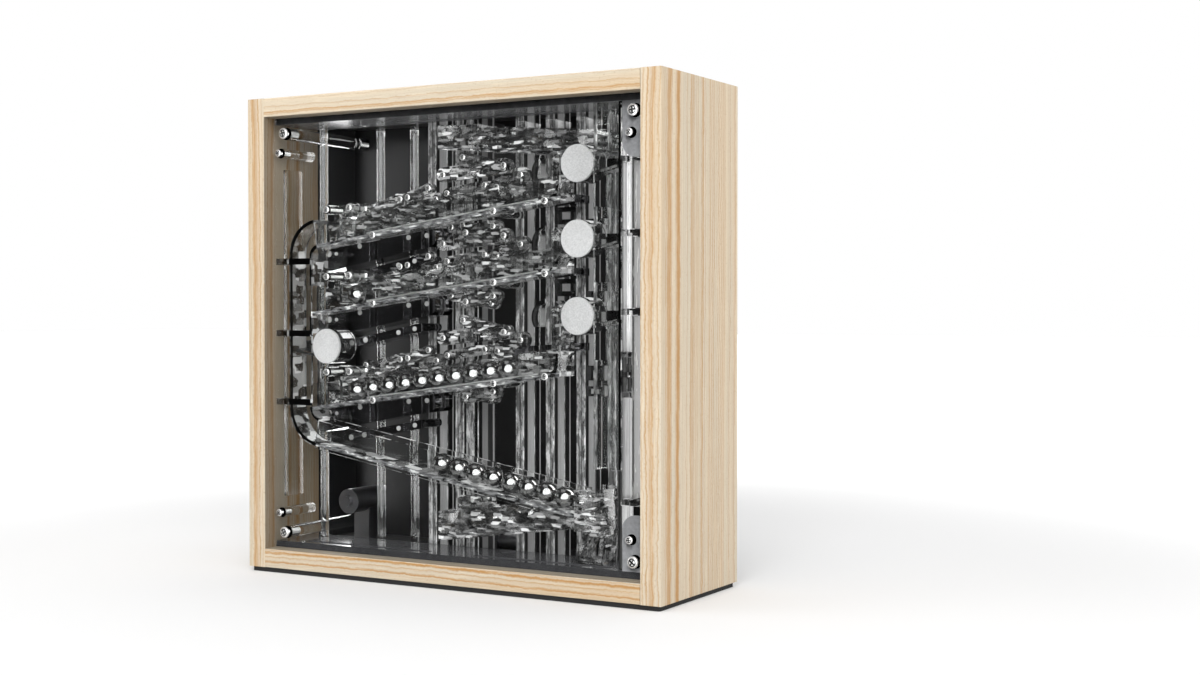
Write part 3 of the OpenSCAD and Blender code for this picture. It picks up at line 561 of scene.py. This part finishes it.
CAP = plain("frosted_cap", (172, 172, 172), (230, 230, 230), 0.55, 0.75, 1100, 0.5, spec=0.3)
BRACKET = plain("grey_bracket", (168, 168, 170), (220, 220, 222), 0.15, 0.3, 500, 0.05, 0.4)
INLET = plain("inlet_plastic", (24, 24, 25), (34, 34, 35), 0.35, 0.5, 1200, 0.1)
CARRIAGE = plain("carriage_plastic", (44, 44, 47), (58, 58, 61), 0.3, 0.45, 1200, 0.12)
# Painted shade in the cross recesses of the screw heads
RECESS_PAINTED_SHADE = metal("recess_painted_shade", (0.05, 0.05, 0.05, 1), 0.3, 0.5)
STEEL = metal("screw_steel", (0.92, 0.92, 0.91, 1), 0.14, 0.3, metallic=0.6)
WIRE = metal("wire_steel", (0.95, 0.95, 0.95, 1), 0.3, 0.45)
BALL = metal("ball_steel", (0.34, 0.34, 0.34, 1), 0.0, 0.012, (160, 160, 160), 0.0)
MOTOR = metal("motor_metal", (0.16, 0.16, 0.165, 1), 0.25, 0.42, (60, 900, 60), 0.1)

BY_SLOT = {
    "wood": WOOD_UP,
    "base_pad": PAD_DARK,
    "dark_panel": BACK,
    "dark_plate": PLATE,
    "clear_acrylic": CLEAR,
    "smoked_acrylic": SMOKED,
    "grey_translucent": GREY_SEE,
    "screw_steel": STEEL,
    "ball_steel": BALL,
    "frosted_cap": CAP,
    "motor_metal": MOTOR,
    "carriage_plastic": CARRIAGE,
    "inlet_plastic": INLET,
}
BY_NODE = {
    "rails": WOOD_ACROSS,
    "front_panel": PANEL,
    "uprights": BAR,
    "lift_tube": TUBE,
    "shaft_walls": SHAFT,
    "top_plate": PLATE_TOP,
    "corner_brackets": BRACKET,
}
for mat, names in (
    (CUT, "track_rear_cheeks rear_channel_cheeks turn_shell turn_pedestal entry_chutes"),
    (LEDGE, "track_floors queue_floor rear_channel_floors"),
    (SHEET, "track_front_cheeks queue_cheeks drop_tube_cheeks drop_tube_walls tube_brackets"
            " shaft_plates shaft_brackets shaft_window_block valve_arms"),
):
    for name in names.split():
        BY_NODE[name] = mat
# Valves: x and height of the axis, mm, and the shift of the painted bands on the drum
VALVES = {
    "minute": (88, 250, 0.085),
    "ten_minute": (88, 206.4, 0.085),
    "hour": (88, 161.5, 0.085),
    "return": (-97, 142, 0.0),
}
for valve, place in VALVES.items():
    BY_NODE[valve + "_drum"] = drum(valve + "_drum_acrylic", *place)
slot_of = {s["node"]: s["material_slot"] for s in frame["record"]["subparts"]}


for name, ob in nodes_of.items():
    ob.data.materials.clear()
    ob.data.materials.append(BY_NODE.get(name, BY_SLOT[slot_of[name]]))


# ---------------------------------------------------------------- mesh helpers
def lathe(bm, profile, place, n=40):
    """Turns (radius, height) pairs round an axis; place maps local points to metres."""
    around = [(math.cos(2 * math.pi * k / n), math.sin(2 * math.pi * k / n)) for k in range(n)]
    rings = []
    for r, h in profile:
        if r < 1e-6:
            rings.append([bm.verts.new(place(0, 0, h))])
        else:
            rings.append([bm.verts.new(place(r * c, r * s, h)) for c, s in around])
    for a, b in zip(rings, rings[1:]):
        for k in range(n):
            j = (k + 1) % n
            if len(a) == 1 and len(b) == 1:
                continue
            if len(a) == 1:
                bm.faces.new((a[0], b[k], b[j]))
            elif len(b) == 1:
                bm.faces.new((a[k], a[j], b[0]))
            else:
                bm.faces.new((a[k], a[j], b[j], b[k]))


def placed(matrix):
    """What lathe needs to put its points where a matrix says."""
    return lambda x, y, z: matrix @ Vector((x, y, z))


def new_piece(name, bm, mat, body, replaced=None, angle=35, extra=None):
    """Makes a piece of a bmesh; extra is the material of faces with index 1."""
    bmesh.ops.recalc_face_normals(bm, faces=bm.faces)
    me = bpy.data.meshes.new(name)
    bm.to_mesh(me)
    bm.free()
    ob = bpy.data.objects.new(name, me)
    scene.collection.objects.link(ob)
    me.materials.append(mat)
    if extra:
        me.materials.append(extra)
    for f in me.polygons:
        f.use_smooth = True
    me.set_sharp_from_angle(angle=math.radians(angle))
    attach(ob, body)
    if replaced:
        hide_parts(replaced)


BOX_FACES = ((3, 2, 1, 0), (4, 5, 6, 7), (0, 1, 5, 4), (1, 2, 6, 5), (2, 3, 7, 6), (3, 0, 4, 7))


def recess_head(r, h, n=40):
    """Pan head with a cross recess, in mm, pointing along +z from its seat at 0. The faces of the
    recess have material index 1."""
    bm = bmesh.new()
    dome = [(0, 0), (r * 0.86, 0), (r * 0.97, h * 0.06), (r, h * 0.22), (r * 0.99, h * 0.42)]
    for k in range(1, 7):
        a = math.radians(90 * k / 6)
        dome.append((r * 0.99 * math.cos(a) if k < 6 else 0, h * (0.42 + 0.58 * math.sin(a))))
    lathe(bm, dome, lambda x, y, z: Vector((x, y, z)), n)
    bmesh.ops.recalc_face_normals(bm, faces=bm.faces)
    head = bpy.data.meshes.new("head")
    bm.to_mesh(head)
    bm.free()
    # The cutter is a cross of two bars that widen upwards
    bm = bmesh.new()
    levels = ((h * 0.28, r * 0.07, r * 0.2), (h * 1.3, r * 0.17, r * 0.72))
    for turn in (0, 90):
        spin = Matrix.Rotation(math.radians(turn), 3, "Z")
        pts = []
        for z, wide, long in levels:
            for sx, sy in ((-1, -1), (1, -1), (1, 1), (-1, 1)):
                pts.append(bm.verts.new(spin @ Vector((sx * long, sy * wide, z))))
        for q in BOX_FACES:
            bm.faces.new([pts[i] for i in q])
    bmesh.ops.recalc_face_normals(bm, faces=bm.faces)
    cut = bpy.data.meshes.new("cut")
    bm.to_mesh(cut)
    bm.free()
    a = bpy.data.objects.new("head_tmp", head)
    b = bpy.data.objects.new("cut_tmp", cut)
    for o in (a, b):
        scene.collection.objects.link(o)
    m = a.modifiers.new("cut", "BOOLEAN")
    m.object, m.operation, m.solver, m.use_self = b, "DIFFERENCE", "EXACT", True
    bpy.context.view_layer.update()
    depsgraph = bpy.context.evaluated_depsgraph_get()
    done = bpy.data.meshes.new_from_object(a.evaluated_get(depsgraph))
    for o in (a, b):
        bpy.data.objects.remove(o)
    # The faces of the recess take the second material, which is painted shade
    for f in done.polygons:
        near_axis = math.hypot(f.center.x, f.center.y) < r * 0.62
        if near_axis and h * 0.05 < f.center.z < h * 0.9:
            f.material_index = 1
    return done


def add_mesh(bm, me, matrix):
    start = len(bm.verts)
    bm.from_mesh(me)
    bm.verts.ensure_lookup_table()
    for v in bm.verts[start:]:
        v.co = matrix @ v.co


def facing(x, y, z, turn=0.0, back=False):
    """Takes local mm (z outwards) to metres at a place in mm, facing the front or the back."""
    flip = Matrix.Rotation(math.radians(-90 if back else 90), 4, "X")
    place = Matrix.Scale(MM, 4) @ Matrix.Translation((x, y, z))
    return place @ flip @ Matrix.Rotation(turn, 4, "Z")


def any_turn():
    """A random turn of a screw head, in radians."""
    return random.uniform(0, 1.5)


def threaded(bm, matrix, r, length, pitch):
    """A shank from 0 down to -length with thread ridges."""
    prof = [(0, 0), (r, 0)]
    root = r * 0.82
    for k in range(int(length / pitch)):
        z = -k * pitch
        prof += [(r, z - pitch * 0.3), (root, z - pitch * 0.55), (root, z - pitch * 0.75),
                 (r, z - pitch)]
    prof += [(r * 0.6, -length), (0, -length)]
    lathe(bm, prof, placed(matrix), 20)


# ---------------------------------------------------------------- screws
PANEL_Y0, BACK_Y1 = -41.0, 47.0  # front of the front panel and back of the back panel, mm
CORNER = [(sx * 127.5, z) for sx in (-1, 1) for z in (22.0, 278.0)]
GUIDE = [(x, z) for x in (-132.0, 125.0) for z in (34.4, 265.6)]


def screw_set(node, places, y, head_size, shank, back=False):
    """Detailed screws for a node; head_size is radius and height, shank radius, length, pitch."""
    bm = bmesh.new()
    head = recess_head(*head_size)
    for x, z in places:
        m = facing(x, y, z + PAD, any_turn(), back)
        add_mesh(bm, head, m)
        threaded(bm, m, *shank)
    new_piece(node + "_detailed", bm, STEEL, "case", node, extra=RECESS_PAINTED_SHADE)


screw_set("corner_screws", CORNER, PANEL_Y0, (3.5, 1.9), (1.97, 12.0, 0.7))
screw_set("guide_screws", GUIDE, PANEL_Y0, (2.3, 1.4), (1.27, 10.0, 0.5))
screw_set("back_screws", CORNER, BACK_Y1, (3.0, 1.8), (1.63, 11.0, 0.7), back=True)

# Track geometry, as in the part's source: slopes in degrees, the rest in mm
TRACK_SLOPE, QUEUE_SLOPE = 7.8, 10.1
TRACK_X = -77.8
TRACK_Z = (217.3, 174.8, 114.3)
# Depths: front and back of the front layer, front and back of the second layer
F0, R1, S0, T1 = -36.2, -19.3, -18.8, -2.4


def line_z(i, x):
    """Height of the ball line of a counting track."""
    return TRACK_Z[i] + (x - TRACK_X) * math.tan(math.radians(TRACK_SLOPE))


def track_screws():
    """The screws and gate pins of the tracks, and the pin of the return gate."""
    bm = bmesh.new()
    head = recess_head(2.2, 1.1, 28)
    through = R1 - F0
    for i in range(3):
        # Place, height, radius and length of each
        spots = [(-96.5, TRACK_Z[i] + 11.3, 1.03, through)]
        for x, more in ((-60, 0), (30, 5), (66, 0)):
            spots.append((x, line_z(i, x) - 8.05, 1.03, through + more))
        pin = (TRACK_X - 0.7, TRACK_Z[i] + 12, 1.5, through)
        for spot in spots + [pin]:
            x, z, r, length = spot
            m = facing(x, F0, z + PAD, any_turn())
            add_mesh(bm, head, m)
            if spot is pin:
                lathe(bm, [(0, 0), (r, 0), (r, -length), (0, -length)], placed(m), 20)
            else:
                threaded(bm, m, r, length, 0.5)
    length = S0 - T1
    prof = [(0, 0), (1.2, 0), (1.5, -0.3), (1.5, length + 0.3), (1.2, length), (0, length)]
    lathe(bm, prof, placed(facing(2.8, S0, 47.8 + PAD)), 20)
    new_piece("track_screws_detailed", bm, STEEL, "case", "track_screws",
              extra=RECESS_PAINTED_SHADE)


track_screws()


# ---------------------------------------------------------------- polished wires along the tracks
def rod(bm, a, b, r, n=12):
    """A round rod between two points in mm."""
    a, b = Vector(a), Vector(b)
    along = (b - a).normalized()
    across = along.cross(Vector((0, 1, 0))).normalized()
    third = along.cross(across)
    length = (b - a).length
    prof = [(0, 0), (r, 0), (r, length), (0, length)]
    lathe(bm, prof, lambda x, y, z: (a + across * x + third * y + along * z) * MM, n)


WIRE_DROP, WIRE_R, WIRE_Y, WIRE_X = 5.9, 0.55, -33.6, (-66, 60)
bm = bmesh.new()
for i in range(3):
    ends = [(x, WIRE_Y, line_z(i, x) - WIRE_DROP + PAD) for x in WIRE_X]
    rod(bm, *ends, WIRE_R)
new_piece("track_wires", bm, WIRE, "case")


# ---------------------------------------------------------------- clear links behind the tracks
def link(bm, a, b, half, y0, y1, n=14):
    """A flat link with round ends between two points (x, z) in mm, from y0 back to y1."""
    a, b = Vector(a), Vector(b)
    lean = math.atan2(b.y - a.y, b.x - a.x)
    outline = []
    for centre, start in ((b, lean - math.pi / 2), (a, lean + math.pi / 2)):
        for k in range(n + 1):
            t = start + math.pi * k / n
            outline.append((centre.x + half * math.cos(t), centre.y + half * math.sin(t)))
    front, rear = [
        [bm.verts.new((x * MM, y * MM, (z + PAD) * MM)) for x, z in outline] for y in (y0, y1)
    ]
    bm.faces.new(front)
    bm.faces.new(rear[::-1])
    for k in range(len(outline)):
        j = (k + 1) % len(outline)
        bm.faces.new((front[k], front[j], rear[j], rear[k]))


# Each link: left and right end (x, height above the track's ball line at LINK_X), half width,
# front and back y
LINK_X = 5
LINKS = (
    ((-19, 20), (26, 24), 4.6, -18.6, -13.5),
    ((-8, 31), (24, 23), 3.4, -12.8, -8.5),
    ((-20, 9), (8, 13), 3.2, -12.5, -7.5),
    ((-2, -16), (18, -12.5), 4.2, -18.4, -12.0),
    ((-18, -12), (12, -17), 3.6, -11.0, -5.5),
    ((14, 12), (31, 19), 5.2, -7.6, -2.6),
    ((-92, -7.3), (-52, 6.2), 4.0, -18.4, -13.0),
    ((-84, 1.8), (-40, 2.8), 3.2, -12.0, -7.0),
    ((-104, -10.9), (-78, -1.4), 3.6, -12.4, -8.0),
    ((-60, -5.9), (-28, 5.5), 4.4, -12.8, -8.4),
    ((-46, 7.0), (-30, 12.3), 3.0, -18.6, -14.0),
)
LINK_LIFT = (0, 0, 2)  # the links of the lowest track sit a little higher
bm, bolts = bmesh.new(), bmesh.new()
head = recess_head(2.0, 1.0, 24)
for i in range(3):
    mid = line_z(i, LINK_X) + LINK_LIFT[i]
    for (x0, v0), (x1, v1), half, y0, y1 in LINKS:
        link(bm, (x0, mid + v0), (x1, mid + v1), half, y0, y1)
        for x, v in ((x0, v0), (x1, v1)):
            add_mesh(bolts, head, facing(x, y0, mid + v + PAD, any_turn()))
new_piece("clear_links", bm, CUT, "case")
new_piece("link_bolts", bolts, STEEL, "case", extra=RECESS_PAINTED_SHADE)


# ---------------------------------------------------------------- sheets outside the right shaft
SHEET_X0, SHEET_X1, SHEET_Y0, SHEET_Y1 = 124.2, 125.6, -36.2, -19.6
SHEET_Z = ((60.2, 164.8), (169.2, 209.8), (214.2, 253.4))
SHEET_BEVEL = 0.2
bm = bmesh.new()
for z0, z1 in SHEET_Z:
    size = Vector((SHEET_X1 - SHEET_X0, SHEET_Y1 - SHEET_Y0, z1 - z0))
    mid = Vector((SHEET_X0 + SHEET_X1, SHEET_Y0 + SHEET_Y1, z0 + z1)) / 2
    matrix = Matrix.Translation(mid * MM) @ Matrix.Diagonal((*size, 1))
    made = bmesh.ops.create_cube(bm, size=MM, matrix=matrix)
    edges = list({e for v in made["verts"] for e in v.link_edges})
    bmesh.ops.bevel(bm, geom=edges, offset=SHEET_BEVEL * MM, segments=2, affect="EDGES")
new_piece("shaft_side_sheets", bm, SATIN, "case", angle=20)


# ---------------------------------------------------------------- balls
BALL_R, PITCH = 6.35, 12.75  # mm
FRONT_Y, RETURN_Y = -28, -10.6  # middle of the front layer and of the return track


def row(x, y, z, slope, n):
    """Centres of n balls up a slope from the lowest one; a negative slope rises to the left."""
    a = math.radians(abs(slope))
    side = 1 if slope > 0 else -1
    return [(x + side * k * PITCH * math.cos(a), y, z + PAD + k * PITCH * math.sin(a))
            for k in range(n)]


def ball_piece(name, centres, body=None):
    bm = bmesh.new()
    for c in centres:
        bmesh.ops.create_uvsphere(bm, u_segments=48, v_segments=32, radius=BALL_R * MM,
                                  matrix=Matrix.Translation(Vector(c) * MM))
    new_piece(name + "_polished", bm, BALL, body or name, name, angle=80)


QUEUE_X = 87.9
QUEUE_Z = 70.7 - (QUEUE_X + 12.6) * math.tan(math.radians(QUEUE_SLOPE))
ball_piece("hour_balls", row(TRACK_X, FRONT_Y, TRACK_Z[2], TRACK_SLOPE, 10))
ball_piece("ten_minute_ball", row(TRACK_X, FRONT_Y, TRACK_Z[1], TRACK_SLOPE, 1))
ball_piece("queue_balls", row(QUEUE_X, FRONT_Y, QUEUE_Z, -QUEUE_SLOPE, 9))
ball_piece("return_balls", row(3.5, RETURN_Y, 35.8, TRACK_SLOPE, 6))
lo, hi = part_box("lift_ball")
ball_piece("lift_ball", [(lo + hi) / 2 / MM], "lift_carriage")


# ---------------------------------------------------------------- valve caps
CAP_Y = -35.0
CAP_PROFILE = [(0, 0.0), (10.9, 0.0), (11.0, 0.2), (11.0, 1.1), (10.85, 1.4), (10.5, 1.58),
               (9.6, 1.6), (0, 1.6)]
for valve, (x, z, _) in VALVES.items():
    bm = bmesh.new()
    lathe(bm, CAP_PROFILE, placed(facing(x, CAP_Y, z + PAD)), 72)
    cap = valve + "_cap"
    new_piece(cap + "_frosted", bm, CAP, valve + "_valve", cap, angle=30)


# ---------------------------------------------------------------- lift screw with its thread
SCREW_X, SCREW_Y, SCREW_Z0, SCREW_Z1 = -13.5, 27, 23.8, 278.6  # axis and ends of the thread
LEAD, STARTS = 8.0, 4
ROOT_R, THREAD_H, JOURNAL_R = 2.35, 0.62, 1.98
STEP, AROUND = 0.4, 32  # height of a row of faces, faces in a row


def lead_screw():
    bm = bmesh.new()
    lo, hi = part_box("lift_screw")
    x, y = SCREW_X * MM, SCREW_Y * MM
    z0, z1 = (SCREW_Z0 + PAD) * MM, (SCREW_Z1 + PAD) * MM
    steps = int((z1 - z0) / (STEP * MM))
    rows = []
    for i in range(steps + 1):
        z = z0 + (z1 - z0) * i / steps
        rows.append([])
        for k in range(AROUND):
            a = 2 * math.pi * k / AROUND
            phase = ((z / (LEAD * MM) - k / AROUND) * STARTS) % 1.0
            ridge = min(1.0, max(0.0, 2.2 - abs(phase - 0.5) * 6.5))
            r = (ROOT_R + THREAD_H * ridge) * MM
            rows[-1].append(bm.verts.new((x + r * math.cos(a), y + r * math.sin(a), z)))
    for a, b in zip(rows, rows[1:]):
        for k in range(AROUND):
            j = (k + 1) % AROUND
            bm.faces.new((a[k], a[j], b[j], b[k]))
    bm.faces.new(rows[0][::-1])
    bm.faces.new(rows[-1])
    r = JOURNAL_R * MM
    for a, b in ((lo.z, z0), (z1, hi.z)):
        lathe(bm, [(0, a), (r, a), (r, b), (0, b)], lambda u, v, w: Vector((x + u, y + v, w)), 32)
    new_piece("lift_screw_threaded", bm, STEEL, "lift_screw", "lift_screw",
              angle=50)


lead_screw()


# ---------------------------------------------------------------- stage, lamps, camera
# A broad round soft light at the front right, which only metal and glass show: its direction,
# the cosines of its rim and its level. The room and the floor both show a part of it.
DISC_AIM = tuple(Vector((0.50, -0.86, 0.05)).normalized())
DISC_RIM = (0.725, 0.735)
DISC_LEVEL = 4.5
CLOCK_MIDDLE = (0, -0.03, 0.15)
FLOOR_HALF = 9


def floor():
    me = bpy.data.meshes.new("stage_floor")
    h = FLOOR_HALF
    me.from_pydata([(-h, -h, 0), (h, -h, 0), (h, h, 0), (-h, h, 0)], [], [(0, 1, 2, 3)])
    ob = bpy.data.objects.new("stage_floor", me)
    scene.collection.objects.link(ob)
    w = Material("stage_floor")
    w.set(Base_Color=(0.78, 0.78, 0.78, 1), Roughness=0.9, Specular_IOR_Level=0.1)
    vec = w.coords()
    path = w.node("ShaderNodeLightPath").outputs
    # The eye sees white, most of all far out; near the clock the floor keeps the shadow
    far = w.soft_step(w.vector("LENGTH", vec, out="Value"), 0.35, 1.3, 0.07, 1.0)
    glow = w.node("ShaderNodeEmission")
    w.link(w.math("MULTIPLY", path["Is Camera Ray"], far), glow.inputs["Strength"])
    seen = w.node("ShaderNodeAddShader")
    w.link(w.p.outputs[0], seen.inputs[0])
    w.link(glow.outputs[0], seen.inputs[1])
    # In metal and glass the floor is white behind the clock and dim in front of it, like the room
    front = w.soft_step(w.split(vec)["Y"], -0.32, -0.03, 1.0, 0.0)
    mirror = w.math("MAXIMUM", path["Is Glossy Ray"], path["Is Transmission Ray"])
    mirror = w.math("MULTIPLY", mirror, w.math("SUBTRACT", 1.0, path["Diffuse Depth"], True))
    # The lower half of the round light, as it lies on the floor seen from the clock
    ray = w.vector("NORMALIZE", w.vector("SUBTRACT", vec, CLOCK_MIDDLE))
    aim = w.vector("DOT_PRODUCT", ray, DISC_AIM, "Value")
    dim = w.node("ShaderNodeEmission")
    w.link(w.soft_step(aim, *DISC_RIM, 0.05, DISC_LEVEL), dim.inputs["Strength"])
    w.over(w.math("MULTIPLY", mirror, front), seen.outputs[0], dim.outputs[0])
    me.materials.append(w.mat)


floor()


def lamp(name, loc, look, size, power):
    data = bpy.data.lights.new(name, "AREA")
    data.size = size
    data.energy = power
    ob = bpy.data.objects.new(name, data)
    scene.collection.objects.link(ob)
    ob.location = loc
    ob.rotation_euler = (Vector(look) - Vector(loc)).to_track_quat("-Z", "Y").to_euler()
    ob.visible_glossy = False
    ob.visible_transmission = False
    return ob


def glint(name, loc, look, wide, high, power):
    """A strip inside the case that only shows as a reflection in polished faces."""
    ob = lamp(name, loc, look, wide, power)
    ob.data.shape = "RECTANGLE"
    ob.data.size_y = high
    ob.visible_glossy = True
    ob.visible_diffuse = False
    ob.visible_camera = False


lamp("key", (0.75, -1.5, 1.25), (0, 0, 0.15), 0.9, 14)
lamp("fill", (-1.5, -1.2, 0.9), (0, 0, 0.15), 1.2, 8)
lamp("top", (0.1, -0.1, 2.0), (0, 0, 0), 1.4, 9.5)
lamp("right", (1.9, 0.5, 0.7), (0.1, 0, 0.15), 1.2, 3.6)
glint("glint_right", (0.1345, 0.004, MIDDLE_Z), (-1, 0.004, MIDDLE_Z), 0.07, 0.26, 0.35)
glint("glint_top", (0.0, 0.015, 0.284), (0.0, 0.0, -1), 0.24, 0.035, 0.12)
glint("glint_left", (-0.1345, 0.02, MIDDLE_Z), (1, 0.0, MIDDLE_Z), 0.03, 0.26, 0.12)

ROOM_BACK, ROOM_FRONT = 1.0, 0.035  # what mirrors and glass show of the room
OPEN_LEVEL, INSIDE_LEVEL = 0.56, 0.72  # even light on rough faces, in the open and in the case


def studio():
    world = bpy.data.worlds.new("studio")
    scene.world = world
    world.use_nodes = True
    w = Tree(world.node_tree)
    ray = w.coords("Generated")

    def disc(room, direction, rim, level):
        """Adds a round light in a fixed direction of the room."""
        aim = w.vector("DOT_PRODUCT", ray, tuple(Vector(direction).normalized()), "Value")
        return w.level(w.soft_step(aim, *rim), room, level)

    # In mirrors and glass the room is white behind the clock and dim in front
    behind = w.vector("DOT_PRODUCT", ray, (0, 1, 0), "Value")
    room = w.level(w.soft_step(behind, -0.05, 0.3), ROOM_FRONT, ROOM_BACK)
    room = disc(room, DISC_AIM, DISC_RIM, DISC_LEVEL)
    # Smaller ones overhead, low left, far left and far right
    room = disc(room, (-0.15, -0.35, 1.0), (0.93, 0.95), 1.1)
    room = disc(room, (-0.90, -0.42, 0.12), (0.955, 0.97), 0.9)
    room = disc(room, (-0.55, -0.62, -0.62), (0.965, 0.98), 0.5)
    room = disc(room, (0.97, -0.10, 0.2), (0.95, 0.97), 0.9)
    path = w.node("ShaderNodeLightPath").outputs
    room = w.level(path["Is Camera Ray"], room, 1.0)
    # Light that lands on rough faces is even: one level in the open, one behind the clear panel
    bounced = w.math("MINIMUM", path["Diffuse Depth"], 1.0)
    room = w.level(bounced, room, INSIDE_LEVEL)
    room = w.level(path["Is Diffuse Ray"], room, OPEN_LEVEL)
    bg = w.t.nodes["Background"]
    w.link(room, bg.inputs["Strength"])
    bg.inputs["Color"].default_value = (1, 1, 1, 1)


studio()

# The photo's camera, fitted to the corners of the case
CAM_AT = (0.5738, -0.8595, 0.1653 + PAD * MM)
CAM_AIM = (-0.4963, 0.8680, -0.0170)
cam_data = bpy.data.cameras.new("camera")
cam_data.lens = 49.47
cam_data.sensor_width = 36
cam = bpy.data.objects.new("camera", cam_data)
scene.collection.objects.link(cam)
cam.location = CAM_AT
cam.rotation_euler = Vector(CAM_AIM).to_track_quat("-Z", "Y").to_euler()
scene.camera = cam
scene.view_settings.view_transform = "Standard"
scene.cycles.max_bounces = 20
scene.cycles.transmission_bounces = 20
scene.cycles.glossy_bounces = 6
scene.cycles.transparent_max_bounces = 24
